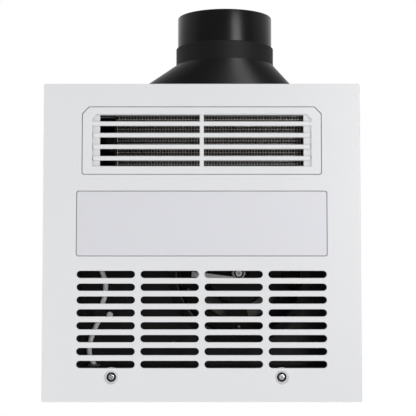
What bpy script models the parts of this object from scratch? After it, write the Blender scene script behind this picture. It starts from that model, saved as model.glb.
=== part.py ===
"""Bathroom ceiling heater with light and extractor, hung as it is used.

Metres, +Z up. The origin is the middle of the ceiling opening, level with the underside of
the ceiling. The white front panel faces down, and the exhaust duct leaves towards -Y.
"""
import math

import bmesh
import bpy
from mathutils import Matrix, Vector

# Fits
GAP = 0.0003
RUNNING_GAP = 0.0007
SCREW_CLEARANCE = 0.0004
OVERRUN = 0.002
BITE = 0.0004
MERGE = 0.00001
ROUND_STEPS = 32
SMALL_STEPS = 10

# Front panel
PANEL_SIDE = 0.300
PANEL_DEPTH = 0.016
PANEL_WALL = 0.0025
PANEL_CORNER = 0.0015
PANEL_EDGE = 0.0008

# Air inlet slots in the panel
SLOT_LENGTH = 0.0549
SLOT_HEIGHT = 0.0068
SLOT_PITCH_X = 0.0601
SLOT_PITCH_Y = 0.01202
SLOT_COLUMNS = 4
SLOT_ROWS = 8
SLOT_FIRST_Y = 0.0308
SLOT_END_STEPS = 4

# Louvre insert
FRAME_WIDTH = 0.0092
INSERT_TOP_Y = -0.1277
INSERT_BOTTOM_Y = -0.0638
INSERT_CHAMFER = 0.0066
INSERT_DEPTH = 0.0045
INSERT_LIP = 0.003
INSERT_LIP_DEPTH = 0.0015
LEDGE_WIDTH = 0.0072
WINDOW_CHAMFER = 0.0045
OPENING_WIDTH = 0.1932
OPENING_TOP_Y = -0.1210
OPENING_BOTTOM_Y = -0.0712
LEDGE_DEPTH = 0.0030
BAR_HEIGHT = 0.0042
BAR_COUNT = 4
BAR_OVERHANG = 0.0064
BAR_FIRST_Y = -0.1120
BAR_PITCH = 0.0110
BAR_SET_BACK = 0.0003
MULLION_WIDTH = 0.0040

# Light
LIGHT_WIDTH = 0.236
LIGHT_HEIGHT = 0.061
LIGHT_Y = -0.01715
LIGHT_CORNER = 0.002
LIGHT_SET_BACK = 0.0002
DIFFUSER_LIP = 0.003
DIFFUSER_LIP_DEPTH = 0.0015
TRAY_MARGIN = 0.001
TRAY_WALL = 0.0012
TRAY_HEIGHT = 0.0100
BOARD_MARGIN = 0.003
BOARD_THICKNESS = 0.0016
DRIVER_LENGTH = 0.090
DRIVER_WIDTH = 0.032
DRIVER_HEIGHT = 0.022
DRIVER_EDGE = 0.0015
CLIP_LENGTH = 0.012
CLIP_THICKNESS = 0.0016
CLIP_HEIGHT = 0.006
CLIP_SPACING = 0.180

# Panel screws
PANEL_SCREW_XS = (-0.0849, 0.0751)
PANEL_SCREW_Y = 0.127
COUNTERBORE_RADIUS = 0.0064
COUNTERBORE_DEPTH = 0.0040
HEAD_POCKET_RADIUS = 0.0045
HEAD_POCKET_DEPTH = 0.0027
MOAT_DEPTH = 0.0070
SCREW_SEAT_RADIUS = 0.0033
BOSS_RADIUS = 0.0088
PANEL_HEAD_RADIUS = 0.0036
PANEL_HEAD_HEIGHT = 0.0023
PANEL_SHANK_RADIUS = 0.0021
PANEL_SCREW_REACH = 0.004
RECESS_LENGTH = 0.0040
RECESS_WIDTH = 0.0009
RECESS_DEPTH = 0.0012

# Other screws
HEAD_RADIUS = 0.0032
HEAD_HEIGHT = 0.0020
SHANK_RADIUS = 0.0016
SCREW_REACH = 0.003
CROWN_SHARE = 0.6

# Housing
HOUSING_SIDE = 0.240
HOUSING_HEIGHT = 0.158
SHEET = 0.001
FLANGE_WIDTH = 0.020
FIXING_HOLE_RADIUS = 0.0025
TAB_SIDE = 0.012
TAB_SCREW_INSET = 0.007
TAB_Y = 0.0993

# Hinge that the panel swings on
HINGE_DROP = 0.0055
HINGE_SETBACK = 0.0068
HINGE_SPACING = 0.218
HINGE_PIN_RADIUS = 0.0016
HOOK_WIDTH = 0.012
HOOK_RADIUS = 0.0034
HOOK_ARM = 0.003
EAR_GAP = 0.0006
EAR_THICKNESS = 0.0012
EAR_RADIUS = 0.0032
HINGE_BASE = 0.0165
RELIEF_WIDTH = 0.0085

# Blower
BLOWER_X = 0.0368
BLOWER_Y = 0.0293
PLATE_HEIGHT = 0.028
PLATE_THICKNESS = 0.002
PLATE_END_Y = -0.0597
PLATE_HOLE_RADIUS = 0.0640
THROAT_RADIUS = 0.0583
RING_WALL = 0.0015
RING_LIP_RADIUS = 0.005
RING_FLANGE_RADIUS = 0.0700
THROAT_HEIGHT = 0.0178
LIP_STEPS = 3

# Impeller
WHEEL_RADIUS = 0.0705
WHEEL_HEIGHT = 0.0485
WHEEL_OVERLAP = 0.0045
BLADE_COUNT = 24
BLADE_THICKNESS = 0.0012
BLADE_INSET = 0.0003
BLADE_SWEEP = math.radians(9.0)
END_RING_HEIGHT = 0.0025
HUB_PLATE = 0.002
CUP_RADIUS = 0.0325
CUP_TAPER = 0.0015
CUP_DEPTH = 0.020
CUP_WALL = 0.0018
BOSS_DROP = 0.006
WHEEL_BOSS_RADIUS = 0.009
WINDOW_INNER = 0.0334
WINDOW_OUTER = 0.0465
WINDOW_COUNT = 5
CROWN_INNER = 0.0510
CROWN_THICKNESS = 0.0012
RIVET_COUNT = 5
RIVET_CIRCLE = 0.0550
RIVET_TURN = math.radians(18.0)
RIVET_RADIUS = 0.0016
RIVET_HEAD_RADIUS = 0.0032
RIVET_HEAD_HEIGHT = 0.0012
WINDOW_ARC = math.radians(45.0)
WINDOW_TURN = math.radians(54.0)
WINDOW_STEPS = 3

# Scroll casing and the air chamber behind it
CASING_WALL = 0.0015
SCROLL_HEIGHT = 0.0682
SCROLL_START_RADIUS = 0.0765
SCROLL_GROWTH = 0.018
SCROLL_START = math.radians(50.0)
SCROLL_TURN = math.radians(230.0)
SCROLL_STEPS = 16
SCROLL_OUTLET = 0.0060
CHAMBER_LEFT = -0.080
CHAMBER_RIGHT = 0.100
CHAMBER_NEAR_Y = -0.044
CHAMBER_TOP = 0.126
MOTOR_OPENING_RADIUS = 0.047
LUG_RADIUS = 0.005
LUG_THICKNESS = 0.003
LUG_SET_OUT = 0.0035
LUG_TURNS = (math.radians(133.0), math.radians(52.0))

# Fan motor
SHAFT_RADIUS = 0.004
SHAFT_TAIL = 0.0075
NUT_RADIUS = 0.0075
NUT_HEIGHT = 0.0052
TAB_LENGTH = 0.036
TAB_WIDTH = 0.008
TAB_THICKNESS = 0.0012
TAB_SET_OFF = 0.008
TAB_TURN = math.radians(7.0)
NOSE_RADIUS = 0.027
NOSE_CLEARANCE = 0.002
CAN_RADIUS = 0.042
CAN_HEIGHT = 0.040
CAN_EDGE = 0.004
MOTOR_PLATE = 0.0015
MOTOR_PLATE_RADIUS = 0.058
MOTOR_SCREW_CIRCLE = 0.0525
MOTOR_SCREWS = 3
BEARING_DEPTH = 0.0153

# Run capacitor, held by a screw from below
CAPACITOR_SIZE = Vector((0.030, 0.050, 0.026))
CAPACITOR_X = -0.0897
CAPACITOR_Y = 0.0701
CAPACITOR_EDGE = 0.002

# Clamp that holds the lamp lead under the blower plate
CLAMP_NEAR_Y = 0.0620
CLAMP_FAR_Y = 0.0750
CLAMP_LEFT = -0.1050
CLAMP_RIGHT = -0.0930
CLAMP_LOW = 0.0205
FOOT_RIGHT = -0.0845
FOOT_THICKNESS = 0.0020
CLAMP_LINE = ((-0.0942, 0.0460, 0.0250), (-0.1030, 0.0860, 0.0242))

# Heater
FRAME_FAR_Y = -0.118
FRAME_NEAR_Y = -0.060
FRAME_LOW = 0.015
FRAME_HIGH = 0.045
FRAME_WALL = 0.0025
ELEMENT_ROWS = 2
ELEMENT_SET_IN = 0.003
BAR_THICKNESS = 0.005
FIN_PITCH = 0.0082
FIN_SHEET = 0.0007
CUTOUT_RADIUS = 0.007
CUTOUT_LENGTH = 0.010
CUTOUT_Y = -0.090
CUTOUT_Z = 0.0245

# Warm air duct and its guard
DUCT_LEFT = -0.083
DUCT_RIGHT = 0.099
DUCT_FAR_Y = -0.1187
DUCT_LOW = -0.0095
DUCT_WALL = 0.001
MOUTH_FAR_Y = -0.1245
MOUTH_HIGH = -0.0016
GUARD_Z = 0.004
GUARD_THICKNESS = 0.0012
GUARD_WIRE = 0.0014
GUARD_COLUMNS = 18
GUARD_ROWS = 4

# Air door and its motor
DOOR_Y = -0.110
DOOR_Z = 0.050
DOOR_LENGTH = 0.062
DOOR_THICKNESS = 0.0016
DOOR_SIDE_GAP = 0.002
DOOR_SHAFT_RADIUS = 0.003
DOOR_SHAFT_GRIP = 0.006
DOOR_MOTOR_RADIUS = 0.0175
DOOR_MOTOR_LENGTH = 0.0155
DOOR_MOTOR_OFFSET_Y = 0.0095
DOOR_MOTOR_OFFSET_Z = 0.003
EXHAUST_LEFT = -0.066
EXHAUST_RIGHT = 0.096
EXHAUST_LOW = 0.056
EXHAUST_HIGH = 0.110

# Exhaust duct collar
DUCT_X = 0.0234
DUCT_Z = 0.099
SPIGOT_RADIUS = 0.049
COLLAR_WALL = 0.002
STOP_RING_RADIUS = 0.05075
BASE_LEFT = -0.0726
BASE_RIGHT = 0.1022
BASE_HEIGHT = 0.102
BASE_CORNER = 0.006
BASE_LENGTH = 0.0357
FLARE_LENGTH = 0.0295
STOP_RING_LENGTH = 0.0181
SPIGOT_LENGTH = 0.0324
SEAT_RADIUS = 0.037
SEAT_LENGTH = 0.0055
COLLAR_FLANGE = 0.006
COLLAR_FLANGE_THICKNESS = 0.002
COLLAR_POINTS = 32
COLLAR_SCREW_INSET = 0.0032

# Backdraught flap
FLAP_RADIUS = 0.040
FLAP_THICKNESS = 0.0012
FLAP_PIN_HEIGHT = 0.036
FLAP_PIN_RADIUS = 0.0012
FLAP_BARREL_RADIUS = 0.0028
FLAP_BARREL_LENGTH = 0.032
FLAP_PIN_LENGTH = 0.0612

# Terminal box on the side away from the duct
BOX_LEFT = -0.118
BOX_RIGHT = -0.038
BOX_LOW = 0.012
BOX_HIGH = 0.062
BOX_DEPTH = 0.028
BOX_WALL = 0.0018
COVER_THICKNESS = 0.0018
COVER_EDGE = 0.0008
POST_SIDE = 0.0085
POST_SCREW_INSET = 0.0062
TERMINAL_SIZE = Vector((0.050, 0.016, 0.018))
TERMINAL_LEFT = -0.0965
TERMINAL_LOW = 0.0325
TERMINAL_WAYS = 5
TERMINAL_GROOVE = 0.002

# Cable entries
GLAND_Y = 0.1343
GLAND_Z = 0.037
GLAND_BORE_RADIUS = 0.0035
GLAND_NECK_RADIUS = 0.0085
GLAND_FLANGE_RADIUS = 0.0110
GLAND_NUT_RADIUS = 0.0095
GLAND_FLANGE = 0.002
GLAND_NUT = 0.0137
GLAND_TAIL = 0.003
GROMMET_NECK_RADIUS = 0.0044
GROMMET_FLANGE_RADIUS = 0.0062
GROMMET_FLANGE = 0.0015
LAMP_ENTRY = (-0.1045, 0.0205)
POWER_ENTRY = (-0.104, 0.046)

# Lamp connector
CONNECTOR_X = -0.094
CONNECTOR_Y = -0.006
SOCKET_SIZE = Vector((0.016, 0.012, 0.0097))
PLUG_SIZE = Vector((0.014, 0.009, 0.0157))
NOSE_SIZE = Vector((0.010, 0.005, 0.0077))
NOSE_SLACK = 0.0012
CAVITY_DEPTH = 0.0058

# Leads
LAMP_LEAD_RADIUS = 0.0025
HEATER_LEAD_RADIUS = 0.0025
LAMP_LEAD_ROUTE = (
    (-0.0940, 0.0003, 0.0248), (-0.0940, 0.0035, 0.0249), (-0.0948, 0.0085, 0.0250),
    (-0.0966, 0.0145, 0.0250), (-0.0980, 0.0205, 0.0250), (-0.0977, 0.0270, 0.0250),
    (-0.0957, 0.0325, 0.0250), (-0.0941, 0.0380, 0.0250), (-0.0938, 0.0440, 0.0250),
    (-0.0945, 0.0510, 0.0250), (-0.0959, 0.0560, 0.0248), (-0.0977, 0.0620, 0.0247),
    (-0.1006, 0.0750, 0.0244), (-0.1031, 0.0812, 0.0242), (-0.1058, 0.0875, 0.0239),
    (-0.1077, 0.0935, 0.0235), (-0.1089, 0.0995, 0.0229), (-0.1092, 0.1045, 0.0222),
    (-0.1086, 0.1085, 0.0214), (-0.1072, 0.1120, 0.0208), (-0.1056, 0.1145, 0.0205),
    (-0.1046, 0.1168, 0.0205), (-0.1045, 0.1195, 0.0205), (-0.1045, 0.1245, 0.0205),
    (-0.1038, 0.1278, 0.0210), (-0.1013, 0.1301, 0.0222), (-0.0978, 0.1310, 0.0242),
    (-0.0951, 0.1310, 0.0266), (-0.0943, 0.1309, 0.0292), (-0.0942, 0.1308, 0.0319),
)
HEATER_LEAD_ROUTE = (
    (-0.0803, -0.0725, 0.0380), (-0.0880, -0.0725, 0.0380), (-0.0955, -0.0710, 0.0382),
    (-0.1025, -0.0665, 0.0387), (-0.1078, -0.0590, 0.0395), (-0.1108, -0.0490, 0.0405),
    (-0.1118, -0.0370, 0.0415), (-0.1120, 0.0100, 0.0440),
    (-0.1120, 0.0600, 0.0455), (-0.1118, 0.0900, 0.0460),
    (-0.1104, 0.0990, 0.0460), (-0.1074, 0.1068, 0.0460), (-0.1047, 0.1122, 0.0460),
    (-0.1041, 0.1158, 0.0460), (-0.1040, 0.1195, 0.0460), (-0.1040, 0.1255, 0.0460),
    (-0.1032, 0.1288, 0.0460), (-0.1010, 0.1307, 0.0460), (-0.0970, 0.1312, 0.0460),
)
LEAD_ROUND_STEPS = 2

# Levels and places that follow from the sizes
FACE_Z = -PANEL_DEPTH
PLATE_BACK_Z = FACE_Z + PANEL_WALL
PANEL_HALF = PANEL_SIDE / 2
HOUSING_HALF = HOUSING_SIDE / 2
WINDOW_WIDTH = OPENING_WIDTH + 2 * LEDGE_WIDTH
INSERT_WIDTH = WINDOW_WIDTH + 2 * FRAME_WIDTH
BAR_LENGTH = OPENING_WIDTH + 2 * BAR_OVERHANG
INNER_HALF = HOUSING_HALF - SHEET
FLANGE_HALF = HOUSING_HALF + FLANGE_WIDTH
HINGE_Y = -(PANEL_HALF - HINGE_SETBACK)
HINGE_Z = -HINGE_DROP
PLATE_TOP = PLATE_HEIGHT + PLATE_THICKNESS
SCROLL_LOW = PLATE_TOP + GAP
SCROLL_TOP = SCROLL_LOW + SCROLL_HEIGHT
THROAT_OUTER = THROAT_RADIUS + RING_WALL
WHEEL_INNER = THROAT_OUTER + RUNNING_GAP
RING_LOW = PLATE_HEIGHT - GAP - RING_WALL
WHEEL_LOW = RING_LOW + THROAT_HEIGHT - WHEEL_OVERLAP
WHEEL_TOP = WHEEL_LOW + WHEEL_HEIGHT
CUP_FLOOR = WHEEL_TOP - CUP_DEPTH
MOTOR_PLATE_LOW = SCROLL_TOP + GAP
MOTOR_PLATE_HIGH = MOTOR_PLATE_LOW + MOTOR_PLATE
NOSE_LOW = CUP_FLOOR + NOSE_CLEARANCE
CHAMBER_LOW = FRAME_HIGH + GAP
CHAMBER_FAR_Y = -(INNER_HALF - GAP)
LIGHT_BACK_Z = PLATE_BACK_Z + GAP
TRAY_LOW = LIGHT_BACK_Z + DIFFUSER_LIP_DEPTH + GAP
TRAY_TOP = TRAY_LOW + TRAY_HEIGHT
ON_TRAY = TRAY_TOP + GAP
MOTOR_HOLE_DEPTH = 2 * (MOTOR_PLATE + CASING_WALL + OVERRUN)
BLOWER = Vector((BLOWER_X, BLOWER_Y, 0))
BOX_NEAR_Y = HOUSING_HALF + GAP
BOX_FAR_Y = BOX_NEAR_Y + BOX_DEPTH

# Plain colours of the real pieces: red, green, blue, roughness, metallic
FINISHES = {
    "white_plastic": (0.80, 0.80, 0.82, 0.38, 0.0),
    "frosted_plastic": (0.74, 0.75, 0.79, 0.55, 0.0),
    "black_plastic": (0.012, 0.012, 0.014, 0.22, 0.0),
    "dark_plastic": (0.020, 0.020, 0.022, 0.45, 0.0),
    "galvanised_steel": (0.56, 0.57, 0.58, 0.42, 1.0),
    "bright_steel": (0.66, 0.66, 0.66, 0.28, 1.0),
    "aluminium": (0.70, 0.70, 0.70, 0.35, 1.0),
    "guard_wire": (0.20, 0.19, 0.18, 0.45, 1.0),
    "white_sheath": (0.82, 0.82, 0.83, 0.45, 0.0),
    "brown_sleeve": (0.17, 0.10, 0.06, 0.60, 0.0),
    "grey_rubber": (0.09, 0.09, 0.09, 0.75, 0.0),
}

PARTS = bpy.data.collections.new("bathroom_ceiling_heater")
TOOLS = bpy.data.collections.new("cutters")


def clear_scene():
    """Remove what the scene holds and link the two collections."""
    for old in list(bpy.data.objects):
        bpy.data.objects.remove(old, do_unlink=True)
    bpy.context.scene.collection.children.link(PARTS)
    bpy.context.scene.collection.children.link(TOOLS)


# Meshes and outlines

def add_object(name, data, group):
    """Link an object that holds this mesh or curve."""
    obj = bpy.data.objects.new(name, data)
    group.objects.link(obj)
    if group is TOOLS:
        obj.hide_render = True
        obj.display_type = "WIRE"
    return obj


def mesh_object(name, bm, group):
    """Turn a bmesh into an object and free it."""
    mesh = bpy.data.meshes.new(name)
    bm.to_mesh(mesh)
    bm.free()
    return add_object(name, mesh, group)


def block(name, low, high, group=PARTS):
    """Make a box between two corners."""
    low, high = Vector(low), Vector(high)
    bm = bmesh.new()
    bmesh.ops.create_cube(bm, size=1.0)
    scale = Matrix.Diagonal((high - low).to_4d())
    scale[3][3] = 1.0
    bmesh.ops.transform(bm, matrix=Matrix.Translation((low + high) / 2) @ scale, verts=bm.verts)
    return mesh_object(name, bm, group)


def rod(name, start, end, radius, steps=ROUND_STEPS, group=PARTS):
    """Make a round bar between two points."""
    start, end = Vector(start), Vector(end)
    line = end - start
    bm = bmesh.new()
    bmesh.ops.create_cone(
        bm, cap_ends=True, segments=steps, radius1=radius, radius2=radius, depth=line.length
    )
    turn = line.to_track_quat("Z", "Y").to_matrix().to_4x4()
    bmesh.ops.transform(bm, matrix=Matrix.Translation((start + end) / 2) @ turn, verts=bm.verts)
    return mesh_object(name, bm, group)


def turned(name, profile, place, direction=(0, 0, 1), steps=ROUND_STEPS, ring=False, group=PARTS):
    """Turn a profile of (radius, height) points, given down its outer side, about a line."""
    bm = bmesh.new()
    points = [bm.verts.new((radius, 0, height)) for radius, height in profile]
    for first, second in zip(points, points[1:]):
        bm.edges.new((first, second))
    if ring:
        bm.edges.new((points[-1], points[0]))
    obj = mesh_object(name, bm, group)
    obj.location = place
    obj.rotation_euler = Vector(direction).to_track_quat("Z", "Y").to_euler()
    screw = obj.modifiers.new("turn", "SCREW")
    screw.axis = "Z"
    screw.steps = steps
    screw.render_steps = steps
    screw.use_merge_vertices = True
    screw.merge_threshold = MERGE
    screw.use_smooth_shade = True
    return obj


def prism(name, outlines, low, high, axis="Z", group=PARTS):
    """Extrude flat outlines from low to high along an axis; an outline inside another is a hole.

    The outline points are (x, y) along Z, and (y, z) along X.
    """
    curve = bpy.data.curves.new(name, "CURVE")
    curve.dimensions = "2D"
    curve.fill_mode = "BOTH"
    curve.extrude = (high - low) / 2
    for outline in outlines:
        spline = curve.splines.new("POLY")
        spline.points.add(len(outline) - 1)
        for point, (u, v) in zip(spline.points, outline):
            point.co = (u, v, 0, 1)
        spline.use_cyclic_u = True
    flat = bpy.data.objects.new(name + "_outline", curve)
    bpy.context.scene.collection.objects.link(flat)
    evaluated = flat.evaluated_get(bpy.context.evaluated_depsgraph_get())
    mesh = bpy.data.meshes.new_from_object(evaluated)
    bpy.data.objects.remove(flat, do_unlink=True)
    bm = bmesh.new()
    bm.from_mesh(mesh)
    bpy.data.meshes.remove(mesh)
    bmesh.ops.remove_doubles(bm, verts=bm.verts, dist=MERGE)
    turn = Matrix.Translation((0, 0, (low + high) / 2))
    if axis == "X":
        along_x = Matrix(((0, 0, 1, 0), (1, 0, 0, 0), (0, 1, 0, 0), (0, 0, 0, 1)))
        turn = along_x @ turn
    bmesh.ops.transform(bm, matrix=turn, verts=bm.verts)
    bmesh.ops.recalc_face_normals(bm, faces=bm.faces)
    return mesh_object(name, bm, group)


def lead(name, route, radius):
    """Make a round lead along its points."""
    curve = bpy.data.curves.new(name, "CURVE")
    curve.dimensions = "3D"
    curve.bevel_depth = radius
    curve.bevel_resolution = LEAD_ROUND_STEPS
    curve.use_fill_caps = True
    spline = curve.splines.new("POLY")
    spline.points.add(len(route) - 1)
    for point, place in zip(spline.points, route):
        point.co = (*place, 1)
    return add_object(name, curve, PARTS)


def arc(centre, radius, start, end, steps):
    """Points on an arc, both ends included."""
    turn = [start + (end - start) * step / steps for step in range(steps + 1)]
    return [(centre[0] + radius * math.cos(a), centre[1] + radius * math.sin(a)) for a in turn]


def rounded_rectangle(left, bottom, right, top, radius, steps=3):
    """Points of a rectangle with round corners."""
    corners = ((right, top), (left, top), (left, bottom), (right, bottom))
    points = []
    for quarter, (x, y) in enumerate(corners):
        inward_x = -radius if x == right else radius
        inward_y = -radius if y == top else radius
        start = quarter * math.pi / 2
        points += arc((x + inward_x, y + inward_y), radius, start, start + math.pi / 2, steps)
    return points


def obround(centre_x, centre_y, length, height, steps):
    """Points of a slot with round ends, lying along X."""
    radius = height / 2
    reach = length / 2 - radius
    right = arc((centre_x + reach, centre_y), radius, -math.pi / 2, math.pi / 2, steps)
    left = arc((centre_x - reach, centre_y), radius, math.pi / 2, 3 * math.pi / 2, steps)
    return right + left


# Changes to a solid

def combine(obj, others, operation):
    """Cut other solids from this one, or join them to it."""
    for other in others:
        change = obj.modifiers.new(operation.lower(), "BOOLEAN")
        change.operation = operation
        change.solver = "EXACT"
        change.object = other


def cut(obj, *cutters):
    """Cut these solids from the object."""
    combine(obj, cutters, "DIFFERENCE")


def join(obj, *pieces):
    """Join these solids to the object."""
    combine(obj, pieces, "UNION")


def round_edges(obj, width, segments=2):
    """Round the sharp edges of a solid."""
    bevel = obj.modifiers.new("round", "BEVEL")
    bevel.width = width
    bevel.segments = segments
    bevel.limit_method = "ANGLE"
    bevel.angle_limit = math.radians(50.0)
    return obj


def dress(finish, *objs):
    """Give each object its own material in one of the finishes."""
    red, green, blue, roughness, metallic = FINISHES[finish]
    for obj in objs:
        material = bpy.data.materials.new(f"{obj.name}_{finish}")
        material.use_nodes = True
        shader = material.node_tree.nodes["Principled BSDF"]
        shader.inputs["Base Color"].default_value = (red, green, blue, 1.0)
        shader.inputs["Roughness"].default_value = roughness
        shader.inputs["Metallic"].default_value = metallic
        obj.data.materials.append(material)
        if obj.type == "MESH":
            obj.data.shade_smooth()
            obj.data.set_sharp_from_angle(angle=math.radians(35.0))


def put_on_axis(name, place, *objs):
    """Parent the pieces of a moving body to an empty on its joint's axis."""
    pivot = add_object(name, None, PARTS)
    pivot.location = place
    for obj in objs:
        obj.parent = pivot
        obj.matrix_parent_inverse = Matrix.Translation(-Vector(place))


def screw(
    name,
    seat,
    direction,
    reach,
    head_radius=HEAD_RADIUS,
    head_height=HEAD_HEIGHT,
    shank_radius=SHANK_RADIUS,
):
    """Make a pan head screw whose head sits on a point and looks along a direction."""
    crown = head_radius * CROWN_SHARE
    profile = (
        (0, head_height), (crown, head_height), (head_radius, head_height / 2),
        (head_radius, 0), (shank_radius, 0), (shank_radius, -reach), (0, -reach),
    )
    return turned(name, profile, seat, direction, SMALL_STEPS)


def screw_hole(place, direction, shank_radius=SHANK_RADIUS, depth=PANEL_DEPTH):
    """Cutter for a screw's clearance hole, centred on a point."""
    half = Vector(direction) * depth / 2
    place = Vector(place)
    return rod("screw_hole", place - half, place + half, shank_radius + SCREW_CLEARANCE, SMALL_STEPS, TOOLS)


# Front panel and what it carries

def slot_outlines():
    """Outlines of the air inlet slots."""
    first_x = -SLOT_PITCH_X * (SLOT_COLUMNS - 1) / 2
    return [
        obround(
            first_x + column * SLOT_PITCH_X,
            SLOT_FIRST_Y + row * SLOT_PITCH_Y,
            SLOT_LENGTH,
            SLOT_HEIGHT,
            SLOT_END_STEPS,
        )
        for row in range(SLOT_ROWS)
        for column in range(SLOT_COLUMNS)
    ]


def chamfered_outline(width, top, bottom, chamfer):
    """Outline with its two corners nearest the duct cut off."""
    half = width / 2
    return [
        (-half, bottom), (-half, top + chamfer), (-half + chamfer, top),
        (half - chamfer, top), (half, top + chamfer), (half, bottom),
    ]


def light_outline(margin):
    """Outline of the light, grown by a margin."""
    half_x = LIGHT_WIDTH / 2 + margin
    half_y = LIGHT_HEIGHT / 2 + margin
    return rounded_rectangle(-half_x, LIGHT_Y - half_y, half_x, LIGHT_Y + half_y, LIGHT_CORNER)


def hook(x):
    """Hook on the panel that hangs over a hinge pin, open towards the middle of the panel."""
    left, right = x - HOOK_WIDTH / 2, x + HOOK_WIDTH / 2
    pin = (HINGE_Y, HINGE_Z)
    ring = prism(
        "hook_ring", [arc(pin, HOOK_RADIUS, 0, math.tau, SMALL_STEPS * 2)[:-1]], left, right, "X", TOOLS
    )
    arm_low = (left, HINGE_Y - HOOK_ARM / 2, PLATE_BACK_Z - BITE)
    arm_high = (right, HINGE_Y + HOOK_ARM / 2, HINGE_Z)
    join(ring, block("hook_arm", arm_low, arm_high, TOOLS))
    eye_radius = HINGE_PIN_RADIUS + GAP
    left_end = (left - OVERRUN, *pin)
    right_end = (right + OVERRUN, *pin)
    mouth_low = (left - OVERRUN, HINGE_Y, HINGE_Z - eye_radius)
    mouth_high = (right + OVERRUN, HINGE_Y + HOOK_RADIUS + OVERRUN, HINGE_Z + eye_radius)
    cut(
        ring,
        rod("hook_eye", left_end, right_end, eye_radius, SMALL_STEPS * 2, TOOLS),
        block("hook_mouth", mouth_low, mouth_high, TOOLS),
    )
    return ring


def tray_clips():
    """Clips on the panel that grip the long sides of the light tray."""
    clips = []
    reach = LIGHT_HEIGHT / 2 + DIFFUSER_LIP + TRAY_MARGIN + GAP
    for side in (-1, 1):
        inner = LIGHT_Y + side * reach
        outer = inner + side * CLIP_THICKNESS
        for end in (-1, 1):
            x = end * CLIP_SPACING / 2
            low = (x - CLIP_LENGTH / 2, min(inner, outer), PLATE_BACK_Z - BITE)
            high = (x + CLIP_LENGTH / 2, max(inner, outer), PLATE_BACK_Z + CLIP_HEIGHT)
            clips.append(block("tray_clip", low, high, TOOLS))
    return clips


def make_front_panel():
    """White moulded panel: slots, openings for the light and the louvre, screw wells and hooks."""
    outline = rounded_rectangle(-PANEL_HALF, -PANEL_HALF, PANEL_HALF, PANEL_HALF, PANEL_CORNER)
    panel = round_edges(prism("front_panel", [outline], FACE_Z, 0), PANEL_EDGE)
    inside = PANEL_HALF - PANEL_WALL
    cut(
        panel,
        block("panel_hollow", (-inside, -inside, PLATE_BACK_Z), (inside, inside, OVERRUN), TOOLS),
        block(
            "hinge_relief",
            (-PANEL_HALF - OVERRUN, -PANEL_HALF - OVERRUN, HINGE_Z),
            (PANEL_HALF + OVERRUN, -PANEL_HALF + RELIEF_WIDTH, OVERRUN),
            TOOLS,
        ),
        prism("slots", slot_outlines(), FACE_Z - OVERRUN, PLATE_BACK_Z + OVERRUN, group=TOOLS),
        prism("light_opening", [light_outline(GAP)], FACE_Z - OVERRUN, PLATE_BACK_Z + OVERRUN, group=TOOLS),
        prism(
            "louvre_opening",
            [
                chamfered_outline(
                    INSERT_WIDTH + 2 * GAP, INSERT_TOP_Y - GAP, INSERT_BOTTOM_Y + GAP, INSERT_CHAMFER
                ),
            ],
            FACE_Z - OVERRUN,
            PLATE_BACK_Z + OVERRUN,
            group=TOOLS,
        ),
    )
    for x in PANEL_SCREW_XS:
        well_floor = FACE_Z + COUNTERBORE_DEPTH
        seat_level = well_floor + HEAD_POCKET_DEPTH
        moat_floor = well_floor + MOAT_DEPTH
        boss_top = -SHEET - GAP
        below = (x, PANEL_SCREW_Y, FACE_Z - OVERRUN)
        start = (x, PANEL_SCREW_Y, PLATE_BACK_Z - BITE)
        hole_radius = PANEL_SHANK_RADIUS + SCREW_CLEARANCE
        join(panel, rod("screw_boss", start, (x, PANEL_SCREW_Y, boss_top), BOSS_RADIUS, group=TOOLS))
        cut(
            panel,
            rod("counterbore", below, (x, PANEL_SCREW_Y, well_floor), COUNTERBORE_RADIUS, group=TOOLS),
            rod("head_pocket", below, (x, PANEL_SCREW_Y, moat_floor), HEAD_POCKET_RADIUS, group=TOOLS),
        )
        seat_start = (x, PANEL_SCREW_Y, seat_level)
        seat_end = (x, PANEL_SCREW_Y, moat_floor + BITE)
        join(panel, rod("screw_seat", seat_start, seat_end, SCREW_SEAT_RADIUS, group=TOOLS))
        way_end = (x, PANEL_SCREW_Y, boss_top + OVERRUN)
        cut(panel, rod("screw_way", below, way_end, hole_radius, SMALL_STEPS, TOOLS))
    join(panel, hook(-HINGE_SPACING / 2), hook(HINGE_SPACING / 2), *tray_clips())
    return panel


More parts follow.
